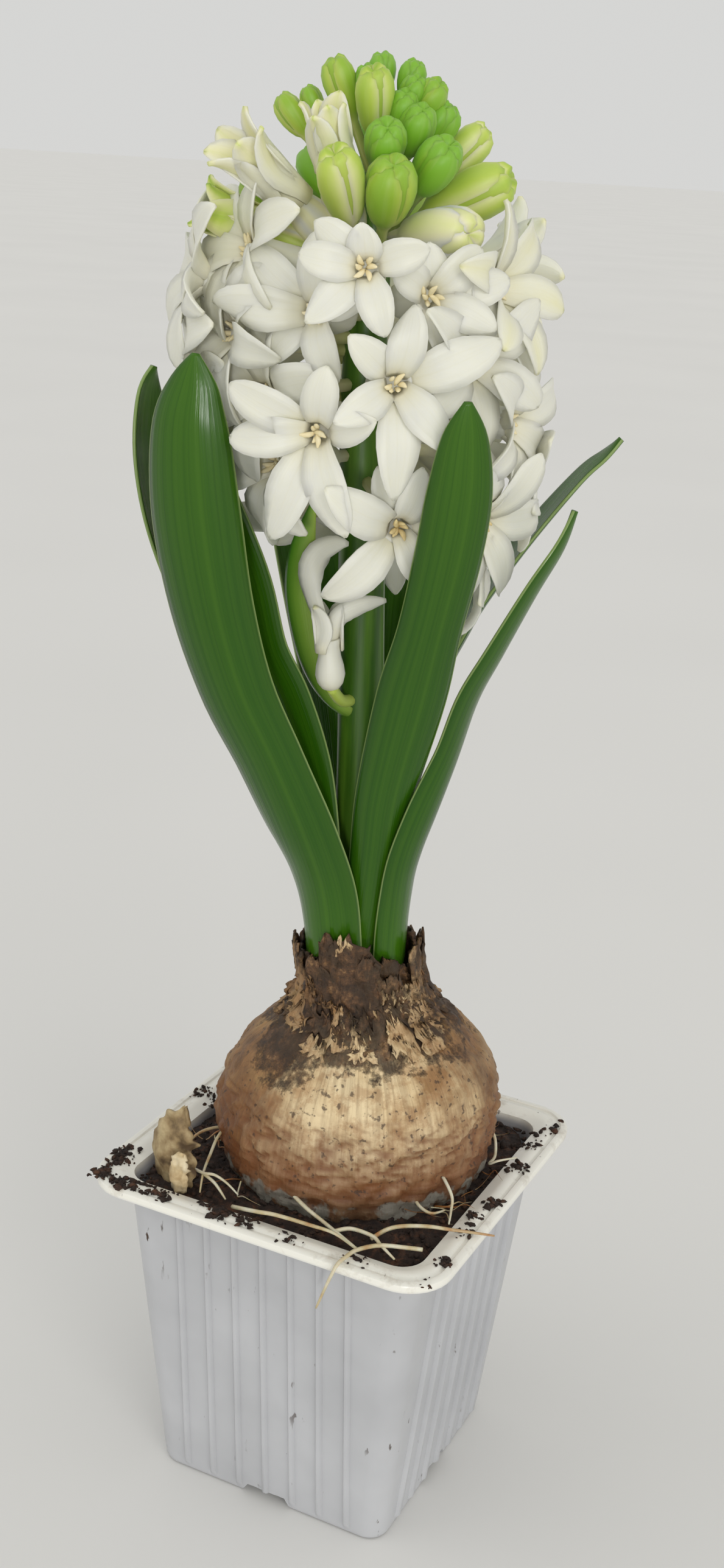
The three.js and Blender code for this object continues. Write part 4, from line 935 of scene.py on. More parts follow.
def make_roots(settings):
    """The roots that lie over the soil and the rim, and the hair roots among them."""
    chance = random.Random(11)
    rings, hair_rings = 26, 14
    unit, hair = unit_tube(8, rings), unit_tube(5, hair_rings)
    bm = new_shape()
    for number, points in enumerate(ROOTS):
        thick = 0.43 if number < THICK_ROOTS else 0.34
        verts = add_tube(
            bm, unit, points, rings, lambda share, wide=thick: wide * (1.02 - 0.55 * share ** 3))
        tone = bm.verts.layers.float["tint"]
        for vert in verts:
            start = (vert.co - Vector(points[0])).length
            vert[tone] = 0.4 * smooth(5, 0, start) - 0.05 if number in TANNED_ROOTS else 0.05 * (number % 3)
    for _ in range(HAIR_ROOTS):
        turn = chance.uniform(0, 360)
        reach = chance.uniform(27.5, 30)
        x, y = PLANT_PLACE[0] + reach * math.cos(turn), PLANT_PLACE[1] + reach * math.sin(turn)
        way = turn + chance.uniform(-1.4, 1.4)
        points = []
        for _ in range(HAIR_BENDS):
            inside = max(abs(x), abs(y)) < SCATTER_HALF
            z = soil_height(x, y) + chance.uniform(0.3, 1.8) if inside else POT_HEIGHT + 0.3
            points.append((x, y, z))
            way += chance.uniform(-0.9, 0.9)
            x, y = x + HAIR_STRIDE * math.cos(way), y + HAIR_STRIDE * math.sin(way)
            x, y = (min(HAIR_HALF, max(-HAIR_HALF, value)) for value in (x, y))
        wide = chance.uniform(0.1, 0.24)
        add_tube(bm, hair, points, hair_rings, lambda share, wide=wide: wide * (1.1 - share),
                 chance.uniform(0.1, 0.45))
    add_piece("white_roots", bm, root_material(settings))


def add_blade(bm, cells, stations, thick, tint=0.0, fray=0.0):
    """Adds a blade with two skins, curled round its length. It has so many columns and rows of cells, and
    thick is its thickness along its edges, and along its middle at its foot and at its tip."""
    columns, rows = cells
    edge, foot, tip = thick
    frames = []
    for row in range(rows + 1):
        x, y, z, width, curl, turn = through(stations, row / rows)
        ahead = heading(stations, row / rows)
        outward = facing(turn)
        outward = (outward - ahead * outward.dot(ahead)).normalized()
        frames.append((Vector((x, y, z)), outward, ahead.cross(outward), width / 2, curl))

    def place(across, along, skin):
        middle, outward, aside, half, curl = frames[round(along * rows)]
        ridge = edge + (between(foot, tip, along) - edge) * (1 - across * across)
        reach = curl + (0.5 - skin) * ridge
        half *= 1 + fray * ripple(along * 9, across, 3)
        bend = across * half / curl
        crease = fray * ripple(across * 2, along * 6, 8) * 2
        return middle + outward * (reach * math.cos(bend) - curl + crease) + aside * (reach * math.sin(bend))

    add_copy(bm, unit_slab(columns, rows), place, tint)


def leaf_material(settings):
    """Hyacinth leaf: fleshy, with a smooth waxy skin that shines, fine long veins, a thin pale edge and
    a yellower foot. Where the tint layer is up, as on the bract, it is young and bright green."""
    material, tree, place = new_material("fleshy_leaf")
    skin = add_node(tree, "UVMap", uv_map="UVMap")
    across = add_node(tree, "SeparateXYZ", Vector=skin, out="X")
    along = across.node.outputs["Y"]
    long = add_node(tree, "Mapping", Vector=skin, Scale=(1, 0.02, 1))
    veins = add_node(tree, "TexNoise", Vector=long, Scale=34, Detail=4)
    broad = add_node(tree, "TexNoise", Vector=long, Scale=9, Detail=2)
    tone = add_node(tree, "ValToRGB", Fac=along, stops=[
        (0, "#47741A"), (0.1, "#36620E"), (0.3, "#295507"), (0.6, opaque(settings.leaf_colour)),
        (1, "#3B6611")])
    off = add_node(tree, "Math", {0: across, 1: 0.5}, operation="SUBTRACT")
    outer = add_node(tree, "Math", {0: off}, operation="ABSOLUTE")
    light = add_node(tree, "MapRange", Value=broad, From_Min=0.42, From_Max=0.66, To_Max=0.2)
    # Painted shade: the leaf is darker towards its edges, where it curls away from the light.
    painted_curl_shade = add_node(tree, "MapRange", Value=outer, From_Min=0.2, From_Max=0.47, To_Max=0.4)
    line = add_node(tree, "MapRange", Value=veins, From_Min=0.52, From_Max=0.66, To_Max=0.3)
    margin = add_node(tree, "MapRange", Value=outer, From_Min=0.478, From_Max=0.495, To_Max=0.75)
    young = add_node(tree, "Attribute", attribute_name="tint", out="Fac")
    fresh = add_node(tree, "Mix", {0: across, 6: "#3F8A14", 7: "#B5D060"}, data_type="RGBA", out=2)
    colour = tone
    for share, over in (
            (light, "#5A8420"), (painted_curl_shade, "#1C4308"), (line, "#1D4406"), (margin, "#93A868"), (young, fresh)):
        colour = add_node(tree, "Mix", {0: share, 6: colour, 7: over}, data_type="RGBA", out=2)
    cloud = add_node(tree, "TexNoise", Vector=place, Scale=60, Detail=3)
    rough = add_node(tree, "MapRange", Value=cloud, To_Min=0.15, To_Max=0.24)
    bump = add_node(tree, "Bump", Height=veins, Strength=0.18, Distance=0.0005)
    finish_material(tree, Base_Color=colour, Roughness=rough, Normal=bump, Specular_IOR_Level=0.32,
                    Subsurface_Weight=0.06, Subsurface_Radius=(0.5, 1, 0.1), Subsurface_Scale=0.0015)
    return material


def make_leaves(settings):
    """The eight strap leaves, one piece each."""
    material = leaf_material(settings)
    for name, stations in LEAVES.items():
        bm = new_shape()
        add_blade(bm, LEAF_CELLS, stations, (settings.edge / MM, *LEAF_THICK))
        add_piece("fresh_" + name, bm, material, [name], PLANT)


def petal_material(name, settings):
    """Hyacinth petal: thick, waxy and matt, with light spread through it. Open ones are ivory with a
    yellow throat, half-open ones have green ribs, and buds are green. The tint layer says how green it is
    all over, and the shade layer how much greener its ribs are."""
    material, tree, place = new_material(name)
    skin = add_node(tree, "UVMap", uv_map="UVMap")
    along = add_node(tree, "SeparateXYZ", Vector=skin, out="Y")
    green, rib = (add_node(tree, "Attribute", attribute_name=layer, out="Fac")
                  for layer in ("tint", "shade"))
    cloud = add_node(tree, "TexNoise", Vector=place, Scale=170, Detail=3)
    long = add_node(tree, "Mapping", Vector=skin, Scale=(1, 0.06, 1))
    veins = add_node(tree, "TexNoise", Vector=long, Scale=16, Detail=3)
    amount = add_node(tree, "Math", {0: cloud, 1: 0.12, 2: green}, operation="MULTIPLY_ADD")
    ribbed = add_node(tree, "Math", {0: rib, 1: amount}, operation="ADD")
    greens = add_node(tree, "ValToRGB", Fac=ribbed, stops=[
        (0, opaque(settings.ivory)), (0.1, "#E5E4D4"), (0.22, "#E8E5BC"), (0.38, "#DDE29A"),
        (0.56, "#BBCF58"), (0.76, "#96BA36"), (1, "#7EB42C")])
    throat = add_node(tree, "MapRange", Value=along, From_Min=0, From_Max=0.3, To_Min=0.4, To_Max=0)
    vein = add_node(tree, "MapRange", Value=veins, From_Min=0.5, From_Max=0.7, To_Max=0.12)
    colour = greens
    for share, over in ((throat, "#EADFA8"), (vein, "#D8D2A8")):
        colour = add_node(tree, "Mix", {0: share, 6: colour, 7: over}, data_type="RGBA", out=2)
    bump = add_node(tree, "Bump", Height=veins, Strength=0.12, Distance=0.0004)
    finish_material(tree, Base_Color=colour, Roughness=0.45, Normal=bump, Subsurface_Weight=0.25,
                    Subsurface_Radius=(1, 0.95, 0.7), Subsurface_Scale=0.0016, Sheen_Weight=0.08)
    return material


class Seat:
    """Where a flower grows from the stalk, its mouth, and the directions round its axis."""

    def __init__(self, foot, mouth):
        self.foot, self.mouth = foot, mouth
        self.out = (mouth - foot).normalized()
        self.right = Vector((0, 0, 1)).cross(self.out).normalized()
        self.top = self.out.cross(self.right)
        self.length = (mouth - foot).length

    def side(self, turn):
        """The direction across the flower at a turn round its axis."""
        angle = math.radians(turn)
        return self.right * math.cos(angle) + self.top * math.sin(angle)


def seat_of(turn, height, reach, rise):
    """The seat of a flower whose mouth faces a turn, at this height and distance from the stalk, and which
    looks up by so many degrees."""
    climb = math.tan(math.radians(rise)) * reach
    low = height - climb
    foot = Vector((straight([(z, x) for x, z, _ in STALK], low), 0, low))
    return Seat(foot, foot + facing(turn) * reach + Vector((0, 0, climb)))


def habit(height):
    """How far a flower reaches at a height, how much it looks up and how open it is."""
    share = max(height - FULL, 0) / (TOP - FULL)
    reach = between(FULL_REACH, TOP_REACH, share ** 1.2)
    if height < FULL:
        rise = between(LOW_RISE, FULL_RISE, (height - LOW) / (FULL - LOW))
    else:
        rise = between(FULL_RISE, TOP_RISE, share)
    return reach, rise, between(1, 0, (height - CLOSING) / CLOSED_OVER)


def tucked(row, middles):
    """The row of a flower, moved in towards the stalk until it is clear of the leaves' middles."""
    turn, height, reach, rise, opened, twist, green = row
    while reach > TUCKED_REACH:
        mouth = seat_of(turn, height, reach, rise).mouth
        if min((mouth - spot).length for spot in middles) > LEAF_CLEAR:
            break
        reach -= 1
    if reach == row[2]:
        return row
    return turn, height, reach, rise, opened, twist, green, [(twist + 60 * k, TUCKED_LOBE) for k in range(6)]


def all_flowers(seed):
    """The rows of the front flowers and of those that follow the spiral."""
    state = seed

    def draw():
        nonlocal state
        state = (1664525 * state + 1013904223) % 2 ** 32
        return state / 2 ** 32

    rows = list(FRONT_FLOWERS)
    for number in range(SPIRAL_TRIES):
        height = between(SPIRAL_LOW, SPIRAL_HIGH, number / SPIRAL_TRIES) + LOOSE * draw()
        reach, rise, opened = habit(height)
        turn = (number * SPIRAL_STEP + LOOSE_TURN * draw()) % 360
        reach -= LOOSE * draw()
        twist = 360 * draw()
        mouth = seat_of(turn, height, reach, rise).mouth
        spacing = BUD_SPACING if opened < BUD_BELOW else SPACING
        if all((seat_of(*row[:4]).mouth - mouth).length > spacing for row in rows):
            green = between(0.95, 0, opened / 0.75) ** 1.5
            rows.append((turn, height, reach, rise, opened, twist, green))
    shares = [step / 40 for step in range(41)]
    middles = [Vector(through(leaf, share)[:3]) for leaf in LEAVES.values() for share in shares]
    front = len(FRONT_FLOWERS)
    rows[front:] = [tucked(row, middles) for row in rows[front:]]

    def grows(row):
        return all(abs(row[0] - turn) > 3 or abs(row[1] - level) > 2 for turn, level in BARE)

    return [row for row in rows if grows(row)]


def narrowed(opened):
    """1 in a flower that is at most half open and 0 in an open one."""
    return 1 - smooth(0.45, 0.85, opened)


def add_petal(bm, unit, seat, turn, length, opened, mouth, forward, green, inner, chance):
    """Adds one petal, which leaves the throat and curls outwards."""
    side = seat.side(turn)
    narrow = narrowed(opened)
    leaves = math.radians(between(*LEAVES_AT, smooth(0.45, 1, opened)) - 9 * narrow)
    rolled_back = 220 * max(0, opened - 1)
    ends = math.radians(between(*ENDS_AT, smooth(0.4, 1, opened)) + chance.uniform(-20, 20) + rolled_back)
    late = between(*BENDS_LATE, (opened - 0.3) / 0.7)
    twist = math.radians(chance.uniform(-34, 34)) * opened
    sway = chance.uniform(-0.13, 0.13) * length
    size = (length - SHORT_PETAL) / 9
    half = between(between(*HALF_OPEN_WIDTH, size), between(*OPEN_WIDTH, size), opened)
    hood = chance.uniform(0.1, 1)
    blunt = chance.uniform(2.2, 3.4)
    rolled = chance.uniform(-0.25, 0.25) * opened
    total = THROAT_ROOT + length
    wall = mouth * 0.88 - 0.7 * opened - inner + 0.75 * narrow
    point = seat.mouth + seat.out * (forward - THROAT_ROOT + inner) + side * wall

    def bend(done):
        """The petal's angle from the flower's axis, so far along it."""
        if done > THROAT_ROOT:
            return leaves + (ends - leaves) * ((done - THROAT_ROOT) / length) ** late
        return leaves * smooth(0, THROAT_ROOT, done)

    frames = []
    shares = [1 - (1 - row / PETAL_ROWS) ** 1.35 for row in range(PETAL_ROWS + 1)] + [1]
    for share, following in zip(shares, shares[1:]):
        done = total * share
        angle = bend(done)
        ahead = side * math.sin(angle) + seat.out * math.cos(angle)
        front = seat.out * math.sin(angle) - side * math.cos(angle)
        across = ahead.cross(front)
        roll = twist * smooth(0.3, 1, share)
        cos, sin = math.cos(roll), math.sin(roll)
        across, front = across * cos + front * sin, front * cos - across * sin
        fall = max(0.0, 1 - max(0.0, (share - 0.4) / 0.6) ** blunt) ** 0.7
        wide = half * max(0.1, (0.5 + 0.5 * smooth(0, 0.5, share)) * fall)
        middle = point + across * (sway * share * share) + front * (hood * smooth(0.75, 1, share))
        cup = between(0.5 - 0.2 * narrow, between(0.3, 0.16, opened), share * 2)
        cup -= rolled * smooth(0.4, 0.9, share)
        frames.append((middle, across, front, wide, cup))
        stride = total * (following - share) / BEND_STEPS
        for _ in range(BEND_STEPS):
            done += stride
            point = point + (side * math.sin(bend(done)) + seat.out * math.cos(bend(done))) * stride

    def place(x, along, skin):
        middle, across, front, wide, cup = frames[round(along * PETAL_ROWS)]
        thick = (0.3 + 0.6 * (1 - x * x)) * (0.5 - skin)
        groove = -0.14 if x == 0 and skin < 0.5 else 0
        return middle + across * (x * wide) + front * (cup * wide * x * x + thick + groove)

    verts = add_copy(bm, unit, place, green)
    rib = bm.verts.layers.float["shade"]
    strength = min(1, green * 4) * (1 - green) * 0.55
    for number, vert in enumerate(verts):
        x, along, _ = unit.vertices[number].co
        vert[rib] = strength * (0.75 - abs(x)) * smooth(0.2, 0.6, along)
        vert[rib] += between(0.3, 0.06, opened) * smooth(0.86, 1, along)


TUBE_SIDES, TUBE_RINGS = 18, 14  # of a flower's tube


def add_floret_tube(bm, unit, seat, opened, mouth, forward, twist, green):
    """Adds a flower's tube with its throat, ribbed a little where the petals join."""
    mouth -= 1.1 * narrowed(opened)
    whole = seat.length - ROOT_SUNK
    # Each ring: how far behind the mouth, and its radius.
    rings = [
        (whole, 1.2), (15, 1.2), (13.3, 2.5), (11.4, 3.3), (9.6, 3.6), (7, between(3.8, 3.3, opened)),
        (4, between(3.9, 3, opened)), (1.4 - forward, mouth - 0.2), (0.3 - forward, mouth),
        (-forward, mouth - 0.25), (0.4 - forward, mouth - 0.8), (1 - forward, mouth - 1.2),
        (1.7 - forward, mouth - 1.7), (2 - forward, 0.3),
    ]

    def place(x, y, ring):
        back, radius = rings[round(ring)]
        angle = math.degrees(math.atan2(y, x))
        ridge = 1 + between(0.09, 0.04, opened) * math.cos(math.radians(6 * angle))
        return seat.mouth - seat.out * min(back, whole) + seat.side(twist + angle) * radius * ridge

    verts = add_copy(bm, unit, place, green)
    rib, tone = (bm.verts.layers.float[name] for name in ("shade", "tint"))
    strength = min(1, green * 4) * (1 - green) * 0.5
    for number, vert in enumerate(verts):
        x, y, ring = unit.vertices[number].co
        vert[rib] = strength * math.cos(6 * math.atan2(y, x))
        if ring < 0.5:
            vert[tone] = max(green, 0.5)


# Each ring of a bud: how far behind its middle, and its radius.
BUD_RINGS = [(6.2, 1), (4.9, 1.7), (4, 2.6), (2.4, 3.4), (0.4, 4), (-1.8, 4.25), (-3.4, 4), (-4.5, 3.1),
             (-4.8, 1.8), (-4.2, 0.3)]


def add_bud(bm, unit, seat, opened, twist, green, scale):
    """Adds a closed bud: three blunt petals folded over three inner ones, whose tips show between them."""
    whole = seat.length - ROOT_SUNK
    long, wide = 1 + 1.7 * opened, 0.98 + 0.3 * opened
    rings = [(whole, 0.9), *BUD_RINGS]
    rib = bm.verts.layers.float["shade"]
    for turned, size, stand in ((0, 1, 0), (60, 0.87, 0.5)):

        def place(x, y, ring):
            back, radius = rings[round(ring)]
            angle = math.degrees(math.atan2(y, x))
            lobe = abs(math.cos(math.radians(1.5 * angle)))
            ridge = 1 - 0.17 * (1 - lobe) ** 2 * smooth(1, 5, ring)
            back *= long * scale if ring > 0.5 else 1
            tip = 1.2 * lobe ** 0.7 + stand + 0.25 * math.cos(math.radians(angle))
            back -= scale * smooth(6, 9, ring) * tip
            around = seat.side(twist + turned + angle)
            girth = between(1, wide * size * scale, ring / 2)
            return seat.mouth - seat.out * min(back, whole) + around * radius * ridge * girth

        verts = add_copy(bm, unit, place, green)
        for number, vert in enumerate(verts):
            x, y, ring = unit.vertices[number].co
            lobe = abs(math.cos(1.5 * math.atan2(y, x)))
            vert[rib] = (0.34 * lobe - 0.24) * between(0.6, 1.5, 1 - green) + 0.1 * smooth(8, 10, ring)


def anther_material():
    """Pollen: dry and dusty straw yellow, browner in the oldest flowers, which the tint layer says."""
    material, tree, place = new_material("pollen_anther")
    cloud = add_node(tree, "TexNoise", Vector=place, Scale=900, Detail=2)
    age = add_node(tree, "Attribute", attribute_name="tint", out="Fac")
    total = add_node(tree, "Math", {0: cloud, 1: 0.4, 2: age}, operation="MULTIPLY_ADD")
    colour = add_node(tree, "ValToRGB", Fac=total, stops=[
        (0.1, "#F6ECC8"), (0.4, "#E8D49C"), (0.95, "#93631D")])
    finish_material(tree, Base_Color=colour, Roughness=0.8)
    return material


def add_stamens(bm, unit, seat, age, chance):
    """Adds six anthers round the style in a flower's throat."""
    for number in range(6):
        side = seat.side(60 * number + chance.uniform(-18, 18))
        middle = seat.mouth + side * chance.uniform(0.7, 1.5) + seat.out * chance.uniform(-0.6, 0.8)
        ahead = (seat.out + side * chance.uniform(0.2, 1.6)).normalized()
        across = ahead.cross(side).normalized()
        other = ahead.cross(across)
        long = chance.uniform(2.3, 3.2)

        def place(x, y, ring):
            share = ring / ANTHER_RINGS
            radius = 0.55 * math.sin(math.pi * (0.1 + 0.8 * share))
            bow = across * (0.25 * math.sin(math.pi * share))
            return middle + ahead * (long * (share - 0.5)) + bow + (across * x + other * y * 0.7) * radius

        add_copy(bm, unit, place, age)


def make_flowers(settings):
    """The open and half-open flowers, the closed buds, and the stamens in the open ones."""
    chance = random.Random(settings.seed)
    petal = unit_slab(PETAL_COLUMNS, PETAL_ROWS)
    tube, bud = unit_tube(TUBE_SIDES, TUBE_RINGS - 1), unit_tube(24, len(BUD_RINGS))
    anther = unit_tube(6, ANTHER_RINGS)
    opened_shapes, buds, stamens = new_shape(), new_shape(), new_shape()

    def floret(seat, opened, twist, green, lobes, age):
        forward, mouth, length = (between(*pair, opened) for pair in (TUBE_FORWARD, TUBE_MOUTH, LOBE_LENGTH))
        if not lobes:
            lobes = [(twist + 60 * k, length * (0.96 if k % 2 else 1.04)) for k in range(6)]
        add_floret_tube(opened_shapes, tube, seat, opened, mouth, forward, lobes[0][0], green)
        for number, (turn, long) in enumerate(lobes):
            inner = 0.45 * (number % 2)
            add_petal(opened_shapes, petal, seat, turn, long, opened, mouth, forward, green, inner, chance)
        if opened > STAMENS_OVER:
            add_stamens(stamens, anther, seat, age, chance)

    for turn, height, reach, rise, opened, twist, green, *own in all_flowers(settings.seed):
        seat = seat_of(turn, height, reach, rise)
        if opened < BUD_BELOW:
            scale = own[0] if own else between(*BUD_SIZES, (height - BUDS_FROM) / BUDS_OVER)
            add_bud(buds, bud, seat, opened, twist, green, scale)
        else:
            floret(seat, opened, twist, green, own[0] if own else None, smooth(222, 205, height) * 0.5)
    lowest = Seat(Vector(LOWEST_BASE), Vector(LOWEST_MOUTH))
    for turn, long in LOWEST_LOBES:
        add_petal(opened_shapes, petal, lowest, turn, long, 0.5, 2.4, 0, 0, 0, chance)
    for stations in LOWEST_PETALS:
        add_blade(opened_shapes, (4, 16), stations, (0.3, 0.9, 0.7), fray=0.1)

    def place(x, y, ring):
        up, radius = LOWEST_TUBE[round(ring)]
        return lowest.foot + lowest.out * up + (lowest.right * x + lowest.top * y) * radius

    add_copy(opened_shapes, unit_tube(18, len(LOWEST_TUBE) - 1), place)
    add_tube(opened_shapes, unit_tube(10, 8), LOWEST_STEM, 8, lambda share: between(1.3, 1.1, share), 0.5)
    material = petal_material("waxy_petal", settings)
    add_piece("open_flowers", opened_shapes, material, ["flower_spike"], PLANT)
    add_piece("flower_buds", buds, material, (), PLANT)
    add_piece("stamens", stamens, anther_material(), (), PLANT)


def stalk_material(settings):
    """Flower stalk: a fleshy, shining green stem."""
    material, tree, place = new_material("fleshy_stalk")
    long = add_node(tree, "Mapping", Vector=place, Scale=(1, 1, 0.05))
    streak = add_node(tree, "TexNoise", Vector=long, Scale=500, Detail=3)
    colour = add_node(tree, "ValToRGB", Fac=streak, stops=[
        (0.35, "#355F12"), (0.65, opaque(settings.stalk_colour))])
    bump = add_node(tree, "Bump", Height=streak, Strength=0.2, Distance=0.0003)
    finish_material(tree, Base_Color=colour, Roughness=0.38, Normal=bump, Subsurface_Weight=0.1,
                    Subsurface_Scale=0.0015)
    return material


def make_stalk(settings, leaf_settings):
    """The stalk and the narrow bract that grows from it."""
    rings = 60
    bm = new_shape()
    points = [(x, 0, z) for x, z, _ in STALK]
    radii = [(radius,) for _, _, radius in STALK]
    add_tube(bm, unit_tube(24, rings), points, rings, lambda share: through(radii, share)[0])
    add_piece("flower_stalk", bm, stalk_material(settings), (), PLANT)
    bm = new_shape()
    add_blade(bm, (8, 36), BRACT, (0.4, 1.5, 0.9), tint=0.8)
    add_piece("bract", bm, leaf_material(leaf_settings), (), PLANT)


def scale_material():
    """Dried bulb scale: brittle and brown, with a paler tan patch, which the tint layer says."""
    material, tree, place = new_material("dried_scale")
    cloud = add_node(tree, "TexNoise", Vector=place, Scale=240, Detail=5)
    pale = add_node(tree, "Attribute", attribute_name="tint", out="Fac")
    brown = add_node(tree, "ValToRGB", Fac=cloud, stops=[
        (0.35, "#54412A"), (0.5, "#947D58"), (0.66, "#BCA880")])
    tan = add_node(tree, "ValToRGB", Fac=cloud, stops=[
        (0.3, "#A5865A"), (0.5, "#D2BC92"), (0.7, "#E6D8B8")])
    colour = add_node(tree, "Mix", {0: pale, 6: brown, 7: tan}, data_type="RGBA", out=2)
    bump = add_node(tree, "Bump", Height=cloud, Strength=0.7, Distance=0.001)
    finish_material(tree, Base_Color=colour, Roughness=0.7, Normal=bump)
    return material


def make_dry_scale():
    """The scrap of dried scale that stands in the soil."""
    bm = new_shape()
    add_blade(bm, (12, 36), DRY_SCALE, (0.5, 0.9, 0.6), fray=0.45)
    add_blade(bm, (10, 18), DRY_TAN_PATCH, (0.5, 1.3, 0.9), tint=1, fray=0.55)
    add_piece("dried_scale", bm, scale_material(), ["dry_scale"])


def colour_setting(name, description, colour):
    """A colour that a user can change."""
    return FloatVectorProperty(
        name=name, description=description, subtype="COLOR", size=3, min=0, max=1, default=srgb(colour)[:3])


def length_setting(name, description, **limits):
    """A small length that a user can change."""
    return FloatProperty(
        name=name, description=description, precision=4, subtype="DISTANCE", unit="LENGTH", **limits)


class PotSettings(bpy.types.PropertyGroup):
    """The pot."""

    rib_rise: length_setting(
        "Rib rise", "How far each rib stands out of the wall", default=0.0009, min=0, max=0.001)
    rim_colour: colour_setting("Rim colour", "Colour of the thick rim", "#F0EEE4")


class SoilSettings(bpy.types.PropertyGroup):
    """The soil and the crumbs that lie on it and on the rim."""

    colour: colour_setting("Soil colour", "Colour of the damp soil", "#2E1F17")
    count: IntProperty(
        name="Crumbs", description="How many loose crumbs lie on the soil", default=900, min=0, max=3000)
    seed: IntProperty(name="Crumb seed", description="Which random lay of crumbs", default=3, min=0)


class BulbSettings(bpy.types.PropertyGroup):
    """The bulb and its roots."""

    tunic_colour: colour_setting("Coat colour", "Middle colour of the bulb's outer coat", "#DEC497")
    root_colour: colour_setting("Root colour", "Colour of a clean root", "#DAD5BE")


class LeafSettings(bpy.types.PropertyGroup):
    """The leaves."""

    edge: length_setting("Edge", "Thickness of a leaf at its edge", default=0.0005, min=0.0002, max=0.001)
    leaf_colour: colour_setting("Leaf colour", "Colour of the upper half of a leaf", "#2B5608")


class FlowerSettings(bpy.types.PropertyGroup):
    """The flower spike."""

    seed: IntProperty(
        name="Flower seed", description="Which random habit the flowers have", default=7, min=0)
    ivory: colour_setting("Petal colour", "Colour of an open petal", "#E1E1D9")
    stalk_colour: colour_setting("Stalk colour", "Lighter colour of the stalk", "#5C8626")


class StageSettings(bpy.types.PropertyGroup):
    """The floor, the light and the camera."""

    floor_colour: colour_setting("Floor colour", "Colour of the plain floor", "#E9E8E5")
    key_strength: FloatProperty(
        name="Key light", description="Strength of the large soft light from the right", default=0.6, min=0)


class HYACINTH_OT_pot(bpy.types.Operator):
    """Makes the plastic pot"""

    bl_idname = "hyacinth.pot"
    bl_label = "Pot"

    def execute(self, context):
        make_pot(context.scene.hyacinth_pot)
        return {"FINISHED"}


class HYACINTH_OT_soil(bpy.types.Operator):
    """Makes the soil and its crumbs"""

    bl_idname = "hyacinth.soil"
    bl_label = "Soil"

    def execute(self, context):
        settings = context.scene.hyacinth_soil
        make_soil(settings)
        make_crumbs(settings)
        return {"FINISHED"}


class HYACINTH_OT_bulb(bpy.types.Operator):
    """Makes the bulb with the torn scales round its neck, and the dried scale in the soil"""

    bl_idname = "hyacinth.bulb"
    bl_label = "Bulb"

    def execute(self, context):
        settings = context.scene.hyacinth_bulb
        make_bulb(settings)
        make_neck_scales(settings)
        make_dry_scale()
        return {"FINISHED"}


class HYACINTH_OT_roots(bpy.types.Operator):
    """Makes the roots that lie on the soil"""

    bl_idname = "hyacinth.roots"
    bl_label = "Roots"

    def execute(self, context):
        make_roots(context.scene.hyacinth_bulb)
        return {"FINISHED"}


class HYACINTH_OT_leaves(bpy.types.Operator):
    """Makes the strap leaves"""

    bl_idname = "hyacinth.leaves"
    bl_label = "Leaves"

    def execute(self, context):
        make_leaves(context.scene.hyacinth_leaf)
        return {"FINISHED"}


class HYACINTH_OT_stalk(bpy.types.Operator):
    """Makes the flower stalk and its bract"""

    bl_idname = "hyacinth.stalk"
    bl_label = "Stalk"

    def execute(self, context):
        make_stalk(context.scene.hyacinth_flower, context.scene.hyacinth_leaf)
        return {"FINISHED"}


class HYACINTH_OT_flowers(bpy.types.Operator):
    """Makes the flowers and the buds"""

    bl_idname = "hyacinth.flowers"
    bl_label = "Flowers"

    def execute(self, context):
        make_flowers(context.scene.hyacinth_flower)
        return {"FINISHED"}


# The camera's place and aim, in millimetres and degrees round the pot, and its lens, in millimetres.
CAMERA_AZIMUTH, CAMERA_ELEVATION, CAMERA_ROLL = 25.76, 19.21, 3.21
CAMERA_DISTANCE, CAMERA_ASIDE, CAMERA_HEIGHT = 362.06, 0.28, 156.29
CAMERA_LENS = 41.48


def add_camera():
    """The camera, at the angle of the photograph."""
    azimuth, elevation, roll = (math.radians(a) for a in (CAMERA_AZIMUTH, CAMERA_ELEVATION, CAMERA_ROLL))
    level = math.cos(elevation)
    back = Vector((math.sin(azimuth) * level, -math.cos(azimuth) * level, math.sin(elevation)))
    right = Vector((math.cos(azimuth), math.sin(azimuth), 0))
    up = back.cross(right)
    cos, sin = math.cos(roll), math.sin(roll)
    right, up = right * cos + up * sin, up * cos - right * sin
    data = bpy.data.cameras.new("camera")
    data.lens = CAMERA_LENS
    data.clip_start = 0.01
    camera = add_object("camera", data)
    camera.matrix_world = Matrix((right, up, back)).transposed().to_4x4()
    camera.location = (Vector((0, 0, CAMERA_HEIGHT)) + right * CAMERA_ASIDE + back * CAMERA_DISTANCE) * MM
    bpy.context.scene.camera = camera


# Far soft lights: the direction that each shines from, its share of the key light's strength, the angle
# that it fills in degrees, and its colour.
LIGHTS = {
    "key": ((0.76, -0.6, 0.42), 1, 30, "#FFFDF8"),
    "glint": ((0.42, -0.9, 0.06), 1, 6, "#FFFFFF"),
    "side": ((-0.7, -0.5, 0.9), 0.35, 50, "#FFFFFF"),
}


def add_lights(key_strength):
    """The lights, and an even pale surround."""
    for name, (way, share, softness, colour) in LIGHTS.items():
        data = bpy.data.lights.new(name, "SUN")
        data.angle = math.radians(softness)
        data.energy = key_strength * share
        data.color = srgb(colour)[:3]
        add_object(name, data).rotation_euler = Vector(way).to_track_quat("Z", "Y").to_euler()
    world = bpy.data.worlds.new("studio")
    world.use_nodes = True
    surround = world.node_tree.nodes["Background"].inputs
    surround["Color"].default_value = srgb("#FAFAF8")
    surround["Strength"].default_value = 0.7
    bpy.context.scene.world = world


STAGE_HALF = 30  # half the width of the floor, in metres


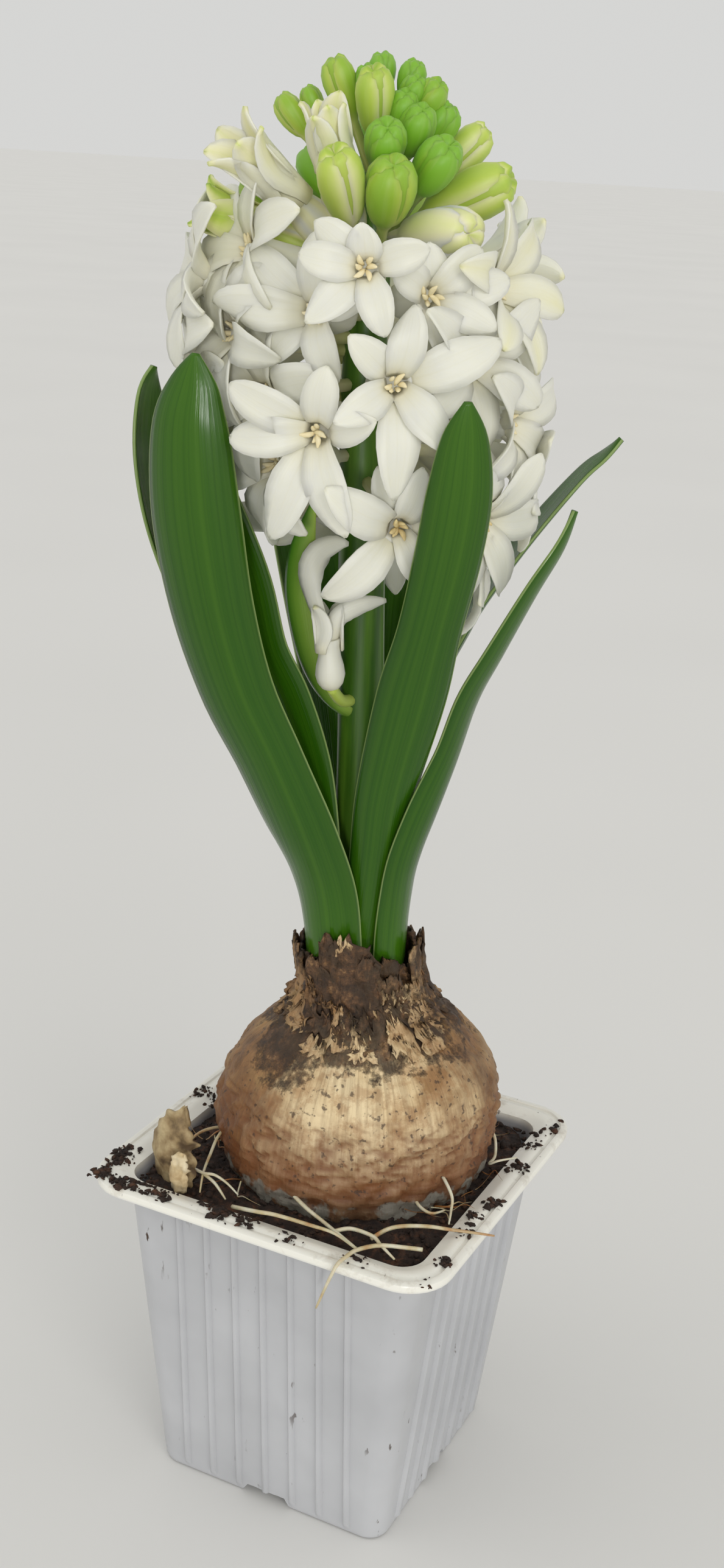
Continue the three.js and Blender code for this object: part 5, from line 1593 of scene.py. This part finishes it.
def floor_material(settings):
    """Painted board: plain, pale and matt."""
    material, tree, place = new_material("painted_board")
    cloud = add_node(tree, "TexNoise", Vector=place, Scale=3)
    shade = opaque(value * 0.97 for value in settings.floor_colour)
    colour = add_node(tree, "ValToRGB", Fac=cloud, stops=[
        (0.3, shade), (0.7, opaque(settings.floor_colour))])
    finish_material(tree, Base_Color=colour, Roughness=0.8)
    return material


class HYACINTH_OT_stage(bpy.types.Operator):
    """Makes the floor, the light and the camera"""

    bl_idname = "hyacinth.stage"
    bl_label = "Stage"

    def execute(self, context):
        settings = context.scene.hyacinth_stage
        bm = bmesh.new()
        bmesh.ops.create_grid(bm, x_segments=1, y_segments=1, size=STAGE_HALF)
        mesh = keep_mesh("floor", bm)
        mesh.materials.append(floor_material(settings))
        add_object("floor", mesh)
        add_lights(settings.key_strength)
        context.scene.view_settings.view_transform = "Standard"
        add_camera()
        return {"FINISHED"}


class HYACINTH_PT_panel(bpy.types.Panel):
    """Lists the pieces of the plant and the stage"""

    bl_label = "Hyacinth"
    bl_space_type = "VIEW_3D"
    bl_region_type = "UI"
    bl_category = "Hyacinth"

    def draw(self, context):
        for name in SETTINGS:
            group = getattr(context.scene, name)
            box = self.layout.box()
            for field in type(group).__annotations__:
                box.prop(group, field)
        for operator in OPERATORS:
            self.layout.operator(operator.bl_idname)


SETTINGS = {
    "hyacinth_pot": PotSettings, "hyacinth_soil": SoilSettings, "hyacinth_bulb": BulbSettings,
    "hyacinth_leaf": LeafSettings, "hyacinth_flower": FlowerSettings, "hyacinth_stage": StageSettings,
}
OPERATORS = [
    HYACINTH_OT_pot, HYACINTH_OT_soil, HYACINTH_OT_bulb, HYACINTH_OT_roots, HYACINTH_OT_leaves,
    HYACINTH_OT_stalk, HYACINTH_OT_flowers, HYACINTH_OT_stage,
]


def register():
    """Makes the settings, the operators and the panel known."""
    for name, group in SETTINGS.items():
        bpy.utils.register_class(group)
        setattr(bpy.types.Scene, name, PointerProperty(type=group))
    for operator in OPERATORS:
        bpy.utils.register_class(operator)
    bpy.utils.register_class(HYACINTH_PT_panel)


def unregister():
    """Takes them away again."""
    bpy.utils.unregister_class(HYACINTH_PT_panel)
    for operator in reversed(OPERATORS):
        bpy.utils.unregister_class(operator)
    for name, group in reversed(SETTINGS.items()):
        delattr(bpy.types.Scene, name)
        bpy.utils.unregister_class(group)


def main():
    """Makes the plant and its stage."""
    register()
    bpy.ops.hyacinth.pot()
    bpy.ops.hyacinth.soil()
    bpy.ops.hyacinth.bulb()
    bpy.ops.hyacinth.roots()
    bpy.ops.hyacinth.leaves()
    bpy.ops.hyacinth.stalk()
    bpy.ops.hyacinth.flowers()
    bpy.ops.hyacinth.stage()


if __name__ == "__main__":
    main()
